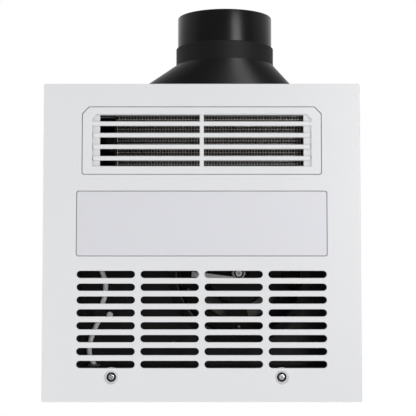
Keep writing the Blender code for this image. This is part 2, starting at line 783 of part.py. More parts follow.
def make_louvre_insert():
    """Fixed louvre: a frame with a recess, four bars with round ends, and a middle bar."""
    outline = chamfered_outline(INSERT_WIDTH, INSERT_TOP_Y, INSERT_BOTTOM_Y, INSERT_CHAMFER)
    insert = prism("louvre_insert", [outline], FACE_Z, FACE_Z + INSERT_DEPTH)
    lip_low = PLATE_BACK_Z + GAP
    lip_outline = chamfered_outline(
        INSERT_WIDTH + 2 * INSERT_LIP,
        INSERT_TOP_Y - INSERT_LIP,
        INSERT_BOTTOM_Y + INSERT_LIP,
        INSERT_CHAMFER,
    )
    ledge_z = FACE_Z + LEDGE_DEPTH
    window = chamfered_outline(WINDOW_WIDTH, OPENING_TOP_Y, OPENING_BOTTOM_Y, WINDOW_CHAMFER)
    half = OPENING_WIDTH / 2
    join(insert, prism("insert_lip", [lip_outline], lip_low, lip_low + INSERT_LIP_DEPTH, group=TOOLS))
    cut(
        insert,
        prism("window", [window], FACE_Z - OVERRUN, ledge_z, group=TOOLS),
        block(
            "louvre_way",
            (-half, OPENING_TOP_Y, FACE_Z),
            (half, OPENING_BOTTOM_Y, FACE_Z + INSERT_DEPTH + OVERRUN),
            TOOLS,
        ),
    )
    lengths = [WINDOW_WIDTH + BAR_HEIGHT] + [BAR_LENGTH] * (BAR_COUNT - 1)
    bars = [
        obround(0, BAR_FIRST_Y + row * BAR_PITCH, length, BAR_HEIGHT, SLOT_END_STEPS)
        for row, length in enumerate(lengths)
    ]
    bar_low = FACE_Z + BAR_SET_BACK
    middle = block(
        "mullion",
        (-MULLION_WIDTH / 2, OPENING_TOP_Y - BITE, bar_low + BAR_SET_BACK),
        (MULLION_WIDTH / 2, OPENING_BOTTOM_Y + BITE, ledge_z + BITE),
        TOOLS,
    )
    join(insert, prism("louvre_bars", bars, bar_low, ledge_z + BITE, group=TOOLS), middle)
    return insert


def make_light():
    """Diffuser, tray, light board and driver, all carried by the panel."""
    face = FACE_Z + LIGHT_SET_BACK
    lip_top = LIGHT_BACK_Z + DIFFUSER_LIP_DEPTH
    diffuser = prism("light_diffuser", [light_outline(0)], face, LIGHT_BACK_Z + BITE)
    join(diffuser, prism("diffuser_lip", [light_outline(DIFFUSER_LIP)], LIGHT_BACK_Z, lip_top, group=TOOLS))

    outer = Vector((LIGHT_WIDTH / 2, LIGHT_HEIGHT / 2, 0)) + Vector((1, 1, 0)) * (
        DIFFUSER_LIP + TRAY_MARGIN
    )
    inner = outer - Vector((1, 1, 0)) * TRAY_WALL
    middle = Vector((0, LIGHT_Y, 0))
    up = Vector((0, 0, 1))
    tray = block("light_tray", middle - outer + up * TRAY_LOW, middle + outer + up * TRAY_TOP)
    roof = TRAY_TOP - TRAY_WALL
    cut(
        tray,
        block("tray_hollow", middle - inner + up * (TRAY_LOW - OVERRUN), middle + inner + up * roof, TOOLS),
    )

    board_half = inner - Vector((1, 1, 0)) * BOARD_MARGIN
    board_top = roof - GAP
    board = block(
        "light_board",
        middle - board_half + up * (board_top - BOARD_THICKNESS),
        middle + board_half + up * board_top,
    )
    driver_half = Vector((DRIVER_LENGTH / 2, DRIVER_WIDTH / 2, 0))
    driver = block(
        "light_driver",
        middle - driver_half + up * ON_TRAY,
        middle + driver_half + up * (ON_TRAY + DRIVER_HEIGHT),
    )
    round_edges(driver, DRIVER_EDGE)
    return diffuser, tray, board, driver


def standing_block(name, size, x, y, low, group=PARTS):
    """Box of a given size that stands on a level, centred on a place."""
    half = Vector((size.x / 2, size.y / 2, 0))
    place = Vector((x, y, low))
    return block(name, place - half, place + half + Vector((0, 0, size.z)), group)


def make_lamp_connector():
    """Plug on the light tray, and the socket above it that the lamp lead ends in."""
    plug = standing_block("lamp_plug", PLUG_SIZE, CONNECTOR_X, CONNECTOR_Y, ON_TRAY)
    nose_low = ON_TRAY + PLUG_SIZE.z - BITE
    join(plug, standing_block("plug_nose", NOSE_SIZE, CONNECTOR_X, CONNECTOR_Y, nose_low, TOOLS))
    socket_low = PLATE_HEIGHT - GAP - SOCKET_SIZE.z
    socket = standing_block("lamp_socket", SOCKET_SIZE, CONNECTOR_X, CONNECTOR_Y, socket_low)
    cavity = Vector((NOSE_SIZE.x + 2 * NOSE_SLACK, NOSE_SIZE.y + 2 * NOSE_SLACK, CAVITY_DEPTH + OVERRUN))
    cut(
        socket,
        standing_block("socket_cavity", cavity, CONNECTOR_X, CONNECTOR_Y, socket_low - OVERRUN, TOOLS),
    )
    return plug, socket


def make_panel_screws():
    """The two captive screws with cross recesses in the wells of the panel."""
    screws = []
    seat_z = FACE_Z + COUNTERBORE_DEPTH + HEAD_POCKET_DEPTH - GAP
    for side, x in zip(("left", "right"), PANEL_SCREW_XS):
        seat = Vector((x, PANEL_SCREW_Y, seat_z))
        piece = screw(
            f"panel_screw_{side}", seat, (0, 0, -1), PANEL_SCREW_REACH - seat_z,
            PANEL_HEAD_RADIUS, PANEL_HEAD_HEIGHT, PANEL_SHANK_RADIUS)
        head_face = seat_z - PANEL_HEAD_HEIGHT
        for long_side, short_side in ((RECESS_LENGTH, RECESS_WIDTH), (RECESS_WIDTH, RECESS_LENGTH)):
            size = Vector((long_side, short_side, RECESS_DEPTH + OVERRUN))
            cut(piece, standing_block("cross_recess", size, seat.x, seat.y, head_face - OVERRUN, TOOLS))
        screws.append(piece)
    return screws


# Housing

def make_housing():
    """Galvanised box, open below, with a flange under the ceiling and tabs for the blower plate."""
    bm = bmesh.new()
    bmesh.ops.create_cube(bm, size=1.0)
    scale = Matrix.Diagonal((HOUSING_SIDE, HOUSING_SIDE, HOUSING_HEIGHT, 1.0))
    bmesh.ops.transform(bm, matrix=Matrix.Translation((0, 0, HOUSING_HEIGHT / 2)) @ scale, verts=bm.verts)
    floor = [min(bm.faces, key=lambda face: face.calc_center_median().z)]
    rim = [edge for edge in floor[0].edges]
    bmesh.ops.delete(bm, geom=floor, context="FACES_ONLY")
    grown = bmesh.ops.extrude_edge_only(bm, edges=rim)["geom"]
    flange_points = [item for item in grown if isinstance(item, bmesh.types.BMVert)]
    widen = Matrix.Diagonal((FLANGE_HALF / HOUSING_HALF, FLANGE_HALF / HOUSING_HALF, 1.0, 1.0))
    bmesh.ops.transform(bm, matrix=widen, verts=flange_points)
    bmesh.ops.recalc_face_normals(bm, faces=bm.faces)
    if sum(face.normal.z for face in bm.faces) < 0:
        bmesh.ops.reverse_faces(bm, faces=bm.faces)
    housing = mesh_object("housing", bm, PARTS)
    solid = housing.modifiers.new("sheet", "SOLIDIFY")
    solid.thickness = SHEET
    solid.offset = -1.0
    solid.solidify_mode = "NON_MANIFOLD"
    solid.nonmanifold_thickness_mode = "CONSTRAINTS"

    for side in (-1, 1):
        wall = side * (INNER_HALF + BITE)
        edge = side * (INNER_HALF - TAB_SIDE)
        tab_low = (min(wall, edge), TAB_Y - TAB_SIDE / 2, SCROLL_LOW)
        tab_high = (max(wall, edge), TAB_Y + TAB_SIDE / 2, SCROLL_LOW + SHEET)
        join(housing, block("plate_tab", tab_low, tab_high, TOOLS))
        cut(housing, screw_hole((side * (INNER_HALF - TAB_SCREW_INSET), TAB_Y, SCROLL_LOW), (0, 0, 1)))
    wall_y = -HOUSING_HALF
    cut(
        housing,
        block(
            "exhaust_way",
            (EXHAUST_LEFT, wall_y - OVERRUN, EXHAUST_LOW),
            (EXHAUST_RIGHT, wall_y + SHEET + OVERRUN, EXHAUST_HIGH),
            TOOLS,
        ),
    )
    for place in collar_screw_places():
        cut(housing, screw_hole(place, (0, 1, 0)))
    for x, z in (LAMP_ENTRY, POWER_ENTRY):
        cut(housing, entry_hole(x, z))
    hole_at = HOUSING_HALF + FLANGE_WIDTH / 2
    for x in (-hole_at, hole_at):
        for y in (-hole_at, hole_at):
            low, high = (x, y, -OVERRUN), (x, y, OVERRUN)
            cut(housing, rod("fixing_hole", low, high, FIXING_HOLE_RADIUS, SMALL_STEPS, TOOLS))
    for x in PANEL_SCREW_XS:
        cut(housing, screw_hole((x, PANEL_SCREW_Y, 0), (0, 0, 1), PANEL_SHANK_RADIUS))
    return housing


def entry_hole(x, z):
    """Cutter for a lead's hole through the housing and the back of the terminal box."""
    start = (x, INNER_HALF - OVERRUN, z)
    end = (x, BOX_NEAR_Y + BOX_WALL + OVERRUN, z)
    return rod("entry_hole", start, end, GROMMET_NECK_RADIUS + GAP, SMALL_STEPS * 2, TOOLS)


def make_hinge_bracket(side, x):
    """Steel bracket under the flange: two ears and the pin riveted through them."""
    base_top = -SHEET - GAP
    outer = HOOK_WIDTH / 2 + EAR_GAP + EAR_THICKNESS
    base_far = -FLANGE_HALF + FLANGE_WIDTH - HINGE_BASE
    base = block(
        f"hinge_bracket_{side}",
        (x - outer, base_far - OVERRUN, base_top - EAR_THICKNESS),
        (x + outer, -HOUSING_HALF, base_top),
    )
    pin = (HINGE_Y, HINGE_Z)
    nose = arc(pin, EAR_RADIUS, math.pi / 2, 3 * math.pi / 2, SMALL_STEPS)
    ear = [(-HOUSING_HALF - HINGE_BASE / 2, base_top), (-FLANGE_HALF, base_top)]
    ear += nose
    ear.append((-HOUSING_HALF - HINGE_BASE / 2, HINGE_Z - EAR_RADIUS))
    for end in (-1, 1):
        inner = x + end * (HOOK_WIDTH / 2 + EAR_GAP)
        edge = x + end * outer
        join(base, prism("hinge_ear", [ear], min(inner, edge), max(inner, edge), "X", TOOLS))
    start = (x - outer - BITE, *pin)
    end = (x + outer + BITE, *pin)
    join(base, rod("hinge_pin", start, end, HINGE_PIN_RADIUS, SMALL_STEPS, TOOLS))
    return base


# Blower

def make_blower_plate():
    """Black plate across the housing that carries the blower from below."""
    reach = INNER_HALF - GAP
    plate = block("blower_plate", (-reach, PLATE_END_Y, PLATE_HEIGHT), (reach, reach, PLATE_TOP))
    low = BLOWER + Vector((0, 0, PLATE_HEIGHT - OVERRUN))
    high = BLOWER + Vector((0, 0, PLATE_TOP + OVERRUN))
    cut(plate, rod("inlet_hole", low, high, PLATE_HOLE_RADIUS, group=TOOLS))
    for x, y in plate_screw_places() + casing_screw_places() + [(CAPACITOR_X, CAPACITOR_Y)]:
        cut(plate, screw_hole((x, y, PLATE_HEIGHT), (0, 0, 1)))
    return plate


def plate_screw_places():
    """Places of the screws that hold the blower plate to the tabs of the housing."""
    reach = INNER_HALF - TAB_SCREW_INSET
    return [(-reach, TAB_Y), (reach, TAB_Y)]


def scroll_radius(turn):
    """Outer radius of the scroll at a turn about its centre."""
    return SCROLL_START_RADIUS + SCROLL_GROWTH * (turn + SCROLL_START) / SCROLL_TURN


def casing_screw_places():
    """Places of the screws that hold the casing's lugs to the blower plate."""
    places = []
    for turn in LUG_TURNS:
        reach = scroll_radius(turn) + LUG_SET_OUT
        places.append((BLOWER_X + reach * math.cos(turn), BLOWER_Y + reach * math.sin(turn)))
    return places


def make_inlet_ring():
    """Bellmouth that leads the air into the impeller."""
    bend = (THROAT_RADIUS + RING_LIP_RADIUS, RING_LOW + RING_LIP_RADIUS)
    inner = arc(bend, RING_LIP_RADIUS, 3 * math.pi / 2, math.pi, LIP_STEPS)
    outer = arc(bend, RING_LIP_RADIUS - RING_WALL, math.pi, 3 * math.pi / 2, LIP_STEPS)
    top = RING_LOW + THROAT_HEIGHT
    profile = [(RING_FLANGE_RADIUS, RING_LOW + RING_WALL), (RING_FLANGE_RADIUS, RING_LOW)]
    profile += inner
    profile += [(THROAT_RADIUS, top), (THROAT_OUTER, top)]
    profile += outer
    return turned("inlet_ring", profile, BLOWER, ring=True)


def blade_outline(turn):
    """Outline of one forward curved blade of the impeller."""
    low = WHEEL_INNER + BLADE_INSET
    span = WHEEL_RADIUS - BLADE_INSET - low
    shares = (0.0, 0.5, 1.0)
    half = BLADE_THICKNESS / 2
    near, far = [], []
    for share in shares:
        radius = low + span * share
        angle = turn + BLADE_SWEEP * share * share
        side = half / radius
        near.append((radius, angle - side))
        far.append((radius, angle + side))
    points = near + far[::-1]
    return [(BLOWER_X + r * math.cos(a), BLOWER_Y + r * math.sin(a)) for r, a in points]


def window_outline(turn):
    """Outline of one window in the hub plate of the impeller."""
    centre = (BLOWER_X, BLOWER_Y)
    start, end = turn - WINDOW_ARC / 2, turn + WINDOW_ARC / 2
    outer = arc(centre, WINDOW_OUTER, start, end, WINDOW_STEPS)
    inner = arc(centre, WINDOW_INNER, end, start, WINDOW_STEPS)
    return outer + inner


def rivet_places():
    """Points on the hub plate where rivets hold the blade cage."""
    turns = [RIVET_TURN + math.tau * index / RIVET_COUNT for index in range(RIVET_COUNT)]
    return [
        (BLOWER_X + RIVET_CIRCLE * math.cos(turn), BLOWER_Y + RIVET_CIRCLE * math.sin(turn))
        for turn in turns
    ]


def make_impeller():
    """Hub of the blower wheel: a plate with windows and rivet holes, and a cup round the motor's nose."""
    plate_low = WHEEL_TOP - HUB_PLATE
    cup_outer = CUP_RADIUS - CUP_TAPER
    bore = SHAFT_RADIUS + GAP
    boss_low = CUP_FLOOR - CUP_WALL - BOSS_DROP
    profile = [
        (WHEEL_RADIUS, WHEEL_TOP), (WHEEL_RADIUS, plate_low), (CUP_RADIUS, plate_low),
        (cup_outer, CUP_FLOOR - CUP_WALL), (WHEEL_BOSS_RADIUS, CUP_FLOOR - CUP_WALL),
        (WHEEL_BOSS_RADIUS, boss_low), (bore, boss_low), (bore, CUP_FLOOR),
        (cup_outer - CUP_WALL, CUP_FLOOR), (CUP_RADIUS - CUP_WALL, WHEEL_TOP),
    ]
    hub = turned("impeller", profile, BLOWER, ring=True)
    turns = [WINDOW_TURN + math.tau * index / WINDOW_COUNT for index in range(WINDOW_COUNT)]
    windows = [window_outline(turn) for turn in turns]
    low, high = plate_low - OVERRUN, WHEEL_TOP + OVERRUN
    cut(hub, prism("hub_windows", windows, low, high, group=TOOLS))
    for x, y in rivet_places():
        cut(hub, rod("rivet_hole", (x, y, low), (x, y, high), RIVET_RADIUS + GAP, SMALL_STEPS, TOOLS))
    return hub


def make_impeller_cage():
    """Blade cage of the blower wheel: end ring, forward curved blades, and a crown riveted to the hub."""
    crown_top = WHEEL_TOP - HUB_PLATE - GAP
    crown_low = crown_top - CROWN_THICKNESS
    end_ring = [
        (WHEEL_RADIUS, WHEEL_LOW + END_RING_HEIGHT), (WHEEL_RADIUS, WHEEL_LOW),
        (WHEEL_INNER, WHEEL_LOW), (WHEEL_INNER, WHEEL_LOW + END_RING_HEIGHT),
    ]
    crown = [
        (WHEEL_RADIUS, crown_top), (WHEEL_RADIUS, crown_low), (CROWN_INNER, crown_low), (
            CROWN_INNER, crown_top
        ),
    ]
    blades = [blade_outline(math.tau * index / BLADE_COUNT) for index in range(BLADE_COUNT)]
    blade_low, blade_high = WHEEL_LOW + END_RING_HEIGHT / 2, crown_low + CROWN_THICKNESS / 2
    cage = turned("impeller_cage", crown, BLOWER, ring=True)
    join(
        cage,
        turned("end_ring", end_ring, BLOWER, ring=True, group=TOOLS),
        prism("blades", blades, blade_low, blade_high, group=TOOLS),
    )
    head_low = crown_low - RIVET_HEAD_HEIGHT
    head_top = WHEEL_TOP + GAP
    for x, y in rivet_places():
        join(
            cage,
            rod("rivet", (x, y, head_low), (x, y, head_top), RIVET_RADIUS, SMALL_STEPS, TOOLS),
            rod(
                "rivet_head",
                (x, y, head_low),
                (x, y, crown_low + BITE),
                RIVET_HEAD_RADIUS,
                SMALL_STEPS,
                TOOLS,
            ),
            rod(
                "rivet_end",
                (x, y, head_top),
                (x, y, head_top + RIVET_HEAD_HEIGHT),
                RIVET_HEAD_RADIUS,
                SMALL_STEPS,
                TOOLS,
            ),
        )
    return cage


def make_shaft_and_nut():
    """Motor shaft, and the nut that holds the impeller on it."""
    boss_low = CUP_FLOOR - CUP_WALL - BOSS_DROP
    nut_top = boss_low - GAP
    nut_low = nut_top - NUT_HEIGHT
    shaft_low = boss_low - SHAFT_TAIL
    up = Vector((0, 0, 1))
    shaft = rod(
        "motor_shaft",
        BLOWER + up * shaft_low,
        BLOWER + up * (NOSE_LOW + BEARING_DEPTH - GAP),
        SHAFT_RADIUS,
        SMALL_STEPS,
    )
    nut = rod("impeller_nut", BLOWER + up * nut_low, BLOWER + up * nut_top, NUT_RADIUS, 6)
    bore = SHAFT_RADIUS + GAP
    tab_start = BLOWER + Vector((0, TAB_SET_OFF, nut_top - TAB_THICKNESS / 2))
    half = Vector((TAB_LENGTH, TAB_WIDTH, TAB_THICKNESS)) / 2
    tab = block("nut_tab", -half, half, TOOLS)
    tab.rotation_euler.z = TAB_TURN
    tab.location = tab_start - Vector((half.x * math.cos(TAB_TURN), half.x * math.sin(TAB_TURN), 0))
    join(nut, tab)
    cut(
        nut,
        rod(
            "nut_bore",
            BLOWER + up * (nut_low - OVERRUN),
            BLOWER + up * (nut_top + OVERRUN),
            bore,
            SMALL_STEPS,
            TOOLS,
        ),
    )
    return shaft, nut


def scroll_outline(inset):
    """Outline of the scroll, drawn in by an inset, with its outlet towards the duct."""
    points = []
    for step in range(SCROLL_STEPS + 1):
        angle = SCROLL_TURN * step / SCROLL_STEPS - SCROLL_START
        radius = scroll_radius(angle) - inset
        points.append((BLOWER_X + radius * math.cos(angle), BLOWER_Y + radius * math.sin(angle)))
    outlet_y = CHAMBER_NEAR_Y - SCROLL_OUTLET
    points.append((points[-1][0], outlet_y))
    points.append((points[0][0], outlet_y))
    return points


def make_scroll_casing():
    """Scroll round the impeller and the air chamber that feeds the duct and the heater."""
    wall = CASING_WALL
    casing = prism("scroll_casing", [scroll_outline(0)], SCROLL_LOW, SCROLL_TOP)
    chamber_low = (CHAMBER_LEFT, CHAMBER_FAR_Y, CHAMBER_LOW)
    chamber_high = (CHAMBER_RIGHT, CHAMBER_NEAR_Y, CHAMBER_TOP)
    throat_low = (CHAMBER_LEFT, PLATE_END_Y, SCROLL_LOW)
    throat_high = (CHAMBER_RIGHT, CHAMBER_NEAR_Y, CHAMBER_LOW + BITE)
    join(
        casing,
        block("chamber", chamber_low, chamber_high, TOOLS),
        block("throat", throat_low, throat_high, TOOLS),
    )
    for x, y in casing_screw_places():
        lug_low, lug_high = (x, y, SCROLL_LOW), (x, y, SCROLL_LOW + LUG_THICKNESS)
        join(casing, rod("casing_lug", lug_low, lug_high, LUG_RADIUS, SMALL_STEPS * 2, TOOLS))
    inner_left, inner_right = CHAMBER_LEFT + wall, CHAMBER_RIGHT - wall
    inner_near = CHAMBER_NEAR_Y - wall
    cut(
        casing,
        prism(
            "scroll_hollow", [scroll_outline(wall)], SCROLL_LOW - OVERRUN, SCROLL_TOP - wall, group=TOOLS
        ),
        block(
            "chamber_hollow",
            (inner_left, CHAMBER_FAR_Y - OVERRUN, CHAMBER_LOW - OVERRUN),
            (inner_right, inner_near, CHAMBER_TOP - wall),
            TOOLS,
        ),
        block(
            "throat_hollow",
            (inner_left, PLATE_END_Y - OVERRUN, SCROLL_LOW - OVERRUN),
            (inner_right, inner_near, CHAMBER_LOW + OVERRUN),
            TOOLS,
        ),
        rod(
            "motor_opening",
            BLOWER + Vector((0, 0, SCROLL_TOP - wall - OVERRUN)),
            BLOWER + Vector((0, 0, SCROLL_TOP + OVERRUN)),
            MOTOR_OPENING_RADIUS,
            group=TOOLS,
        ),
        rod(
            "door_bearing",
            (CHAMBER_LEFT - OVERRUN, DOOR_Y, DOOR_Z),
            (CHAMBER_RIGHT + OVERRUN, DOOR_Y, DOOR_Z),
            DOOR_SHAFT_RADIUS + GAP,
            SMALL_STEPS,
            TOOLS,
        ),
    )
    for x, y in casing_screw_places():
        cut(casing, screw_hole((x, y, SCROLL_LOW), (0, 0, 1)))
    for place in motor_screw_places():
        cut(casing, screw_hole(place, (0, 0, 1), depth=MOTOR_HOLE_DEPTH))
    return casing


def motor_screw_places():
    """Seats of the screws on the mounting plate of the fan motor."""
    places = []
    for index in range(MOTOR_SCREWS):
        angle = math.tau * index / MOTOR_SCREWS + math.pi / 2
        spoke = Vector((math.cos(angle), math.sin(angle), 0)) * MOTOR_SCREW_CIRCLE
        places.append(BLOWER + spoke + Vector((0, 0, MOTOR_PLATE_HIGH)))
    return places


def make_fan_motor():
    """Fan motor: can, mounting plate, nose that reaches into the wheel, and the shaft's bearing."""
    can_top = MOTOR_PLATE_HIGH + CAN_HEIGHT
    bearing = SHAFT_RADIUS + GAP
    profile = [
        (0, can_top), (CAN_RADIUS - CAN_EDGE, can_top), (CAN_RADIUS, can_top - CAN_EDGE),
        (CAN_RADIUS, MOTOR_PLATE_HIGH), (MOTOR_PLATE_RADIUS, MOTOR_PLATE_HIGH),
        (MOTOR_PLATE_RADIUS, MOTOR_PLATE_LOW), (NOSE_RADIUS, MOTOR_PLATE_LOW), (NOSE_RADIUS, NOSE_LOW),
        (bearing, NOSE_LOW), (bearing, NOSE_LOW + BEARING_DEPTH), (0, NOSE_LOW + BEARING_DEPTH),
    ]
    motor = turned("fan_motor", profile, BLOWER)
    for place in motor_screw_places():
        cut(motor, screw_hole(place, (0, 0, 1), depth=MOTOR_HOLE_DEPTH))
    return motor


def make_capacitor():
    """Run capacitor of the fan motor, standing on the blower plate."""
    capacitor = standing_block("run_capacitor", CAPACITOR_SIZE, CAPACITOR_X, CAPACITOR_Y, SCROLL_LOW)
    round_edges(capacitor, CAPACITOR_EDGE)
    cut(capacitor, screw_hole((CAPACITOR_X, CAPACITOR_Y, SCROLL_LOW), (0, 0, 1)))
    return capacitor


def make_lead_clamp():
    """Black saddle clamp over the lamp lead, held by the screw that goes on into the capacitor."""
    top = PLATE_HEIGHT - GAP
    clamp = block("lead_clamp", (CLAMP_LEFT, CLAMP_NEAR_Y, CLAMP_LOW), (CLAMP_RIGHT, CLAMP_FAR_Y, top))
    foot_low = (CLAMP_RIGHT - BITE, CLAMP_NEAR_Y, top - FOOT_THICKNESS)
    join(clamp, block("clamp_foot", foot_low, (FOOT_RIGHT, CLAMP_FAR_Y, top), TOOLS))
    radius = LAMP_LEAD_RADIUS + GAP
    for lift in (0, LAMP_LEAD_RADIUS):
        start, end = (Vector(point) + Vector((0, 0, lift)) for point in CLAMP_LINE)
        cut(clamp, rod("clamp_groove", start, end, radius, SMALL_STEPS, TOOLS))
    cut(clamp, screw_hole((CAPACITOR_X, CAPACITOR_Y, top), (0, 0, 1)))
    return clamp


# Heater and the warm air path

def make_heater():
    """Heater frame with two rows of elements: a bar of ceramic heaters between corrugated fins."""
    frame = block(
        "heater_frame", (CHAMBER_LEFT, FRAME_FAR_Y, FRAME_LOW), (CHAMBER_RIGHT, FRAME_NEAR_Y, FRAME_HIGH)
    )
    left, right = CHAMBER_LEFT + FRAME_WALL, CHAMBER_RIGHT - FRAME_WALL
    far, near = FRAME_FAR_Y + FRAME_WALL, FRAME_NEAR_Y - FRAME_WALL
    cut(
        frame,
        block("frame_way", (left, far, FRAME_LOW - OVERRUN), (right, near, FRAME_HIGH + OVERRUN), TOOLS),
    )

    low, high = FRAME_LOW + ELEMENT_SET_IN, FRAME_HIGH - ELEMENT_SET_IN
    pieces_per_row = 3
    gaps = (ELEMENT_ROWS * pieces_per_row + 1) * GAP
    fin_width = (near - far - ELEMENT_ROWS * BAR_THICKNESS - gaps) / (2 * ELEMENT_ROWS)
    start, end = left + GAP, right - GAP
    fins, bars = [], []
    y = far + GAP
    for row in range(ELEMENT_ROWS):
        fins.append(make_fins(f"heater_fins_{2 * row + 1}", start, end, y, fin_width, low, high))
        y += fin_width + GAP
        bars.append(block(f"heater_bar_{row + 1}", (start, y, low), (end, y + BAR_THICKNESS, high)))
        y += BAR_THICKNESS + GAP
        fins.append(make_fins(f"heater_fins_{2 * row + 2}", start, end, y, fin_width, low, high))
        y += fin_width + GAP
    return frame, fins, bars


def make_fins(name, start, end, y, width, low, high):
    """One strip of corrugated fins, folded from a thin sheet."""
    folds = int((end - start) / FIN_PITCH) * 2
    step = (end - start - FIN_SHEET) / folds
    crests = [
        (start + index * step, y if index % 2 == 0 else y + width - FIN_SHEET) for index in range(folds + 1)
    ]
    return prism(name, [[*crests, *fin_back(crests)]], low, high)


def fin_back(crests):
    """The second side of a folded sheet, one sheet's thickness on, from its last point to its first."""
    return [(x + FIN_SHEET, y + FIN_SHEET) for x, y in reversed(crests)]


def make_thermal_cutout():
    """Round thermal cutout on the end of the heater frame."""
    profile = [
        (0, CUTOUT_LENGTH), (CUTOUT_RADIUS / 2, CUTOUT_LENGTH), (CUTOUT_RADIUS / 2, CUTOUT_LENGTH / 2),
        (CUTOUT_RADIUS, CUTOUT_LENGTH / 2), (CUTOUT_RADIUS, 0), (0, 0),
    ]
    return turned(
        "thermal_cutout", profile, (CHAMBER_LEFT - GAP, CUTOUT_Y, CUTOUT_Z), (-1, 0, 0), SMALL_STEPS * 2
    )


def make_warm_air_duct():
    """Black sheet duct from the heater down to a wider mouth over the louvre."""
    high = FRAME_LOW - GAP
    duct = block("warm_air_duct", (DUCT_LEFT, DUCT_FAR_Y, DUCT_LOW), (DUCT_RIGHT, FRAME_NEAR_Y, high))
    mouth_low = (DUCT_LEFT, MOUTH_FAR_Y, DUCT_LOW)
    join(duct, block("duct_mouth", mouth_low, (DUCT_RIGHT, FRAME_NEAR_Y, MOUTH_HIGH), TOOLS))
    wall = DUCT_WALL
    cut(
        duct,
        block(
            "duct_way",
            (DUCT_LEFT + wall, DUCT_FAR_Y + wall, DUCT_LOW - OVERRUN),
            (DUCT_RIGHT - wall, FRAME_NEAR_Y - wall, high + OVERRUN),
            TOOLS,
        ),
        block(
            "mouth_way",
            (DUCT_LEFT + wall, MOUTH_FAR_Y + wall, DUCT_LOW - OVERRUN),
            (DUCT_RIGHT - wall, FRAME_NEAR_Y - wall, MOUTH_HIGH - wall),
            TOOLS,
        ),
    )
    return duct


def make_guard():
    """Guard net across the warm air duct."""
    edge = DUCT_WALL + GAP
    left, right = DUCT_LEFT + edge, DUCT_RIGHT - edge
    far, near = DUCT_FAR_Y + edge, FRAME_NEAR_Y - edge
    pitch_x = (right - left - GUARD_WIRE) / GUARD_COLUMNS
    pitch_y = (near - far - GUARD_WIRE) / GUARD_ROWS
    outlines = [[(left, far), (right, far), (right, near), (left, near)]]
    for column in range(GUARD_COLUMNS):
        for row in range(GUARD_ROWS):
            x = left + GUARD_WIRE + column * pitch_x
            y = far + GUARD_WIRE + row * pitch_y
            x_end, y_end = x + pitch_x - GUARD_WIRE, y + pitch_y - GUARD_WIRE
            outlines.append([(x, y), (x, y_end), (x_end, y_end), (x_end, y)])
    return prism("heater_guard", outlines, GUARD_Z, GUARD_Z + GUARD_THICKNESS)


# Air door

def make_air_door():
    """Door on its shaft: up it shuts the exhaust, down it lies over the heater."""
    left = CHAMBER_LEFT + CASING_WALL + DOOR_SIDE_GAP
    right = CHAMBER_RIGHT - CASING_WALL - DOOR_SIDE_GAP
    half = DOOR_THICKNESS / 2
    door = block("air_door", (left, DOOR_Y - half, DOOR_Z), (right, DOOR_Y + half, DOOR_Z + DOOR_LENGTH))
    shaft_start = (CHAMBER_LEFT - GAP - DOOR_SHAFT_GRIP, DOOR_Y, DOOR_Z)
    shaft_end = (CHAMBER_RIGHT, DOOR_Y, DOOR_Z)
    join(door, rod("door_shaft", shaft_start, shaft_end, DOOR_SHAFT_RADIUS, SMALL_STEPS, TOOLS))
    return door


def make_door_motor():
    """Small geared motor that turns the door's shaft."""
    y, z = DOOR_Y + DOOR_MOTOR_OFFSET_Y, DOOR_Z + DOOR_MOTOR_OFFSET_Z
    face = CHAMBER_LEFT - GAP
    motor = rod("door_motor", (face, y, z), (face - DOOR_MOTOR_LENGTH, y, z), DOOR_MOTOR_RADIUS)
    grip = DOOR_SHAFT_GRIP + GAP
    bore = rod(
        "door_motor_bore",
        (face + OVERRUN, DOOR_Y, DOOR_Z),
        (face - grip, DOOR_Y, DOOR_Z),
        DOOR_SHAFT_RADIUS + GAP,
        SMALL_STEPS,
        TOOLS,
    )
    cut(motor, bore)
    return motor


# Exhaust collar and flap

def collar_section(y, left, right, low, high, corner):
    """One section of the collar: a rectangle with round corners, or a circle where the corners meet."""
    points = []
    for index in range(COLLAR_POINTS):
        angle = math.tau * (index + 0.5) / COLLAR_POINTS
        across = right - corner if math.cos(angle) > 0 else left + corner
        up = high - corner if math.sin(angle) > 0 else low + corner
        points.append((across + corner * math.cos(angle), y, up + corner * math.sin(angle)))
    return points


def round_section(y, radius):
    """Round section of the collar on the axis of the duct."""
    return collar_section(y, DUCT_X - radius, DUCT_X + radius, DUCT_Z - radius, DUCT_Z + radius, radius)


def base_section(y, margin):
    """Rectangular section of the collar's base, grown by a margin."""
    half = BASE_HEIGHT / 2 + margin
    return collar_section(
        y, BASE_LEFT - margin, BASE_RIGHT + margin, DUCT_Z - half, DUCT_Z + half, BASE_CORNER
    )


def shoulder_section(y, margin):
    """Oval section where the collar's flare starts, as wide and high as the base, grown by a margin."""
    middle = (BASE_LEFT + BASE_RIGHT) / 2
    across = (BASE_RIGHT - BASE_LEFT) / 2 + margin
    up = BASE_HEIGHT / 2 + margin
    angles = [math.tau * (index + 0.5) / COLLAR_POINTS for index in range(COLLAR_POINTS)]
    return [(middle + across * math.cos(angle), y, DUCT_Z + up * math.sin(angle)) for angle in angles]


def collar_levels():
    """Y of the collar's steps: seat, back of its flange, start and end of the flare, end of ring, mouth."""
    seat = -HOUSING_HALF - GAP
    flange = seat - COLLAR_FLANGE_THICKNESS
    flare = flange - BASE_LENGTH
    ring = flare - FLARE_LENGTH
    spigot = ring - STOP_RING_LENGTH
    mouth = spigot - SPIGOT_LENGTH
    return seat, flange, flare, ring, spigot, mouth


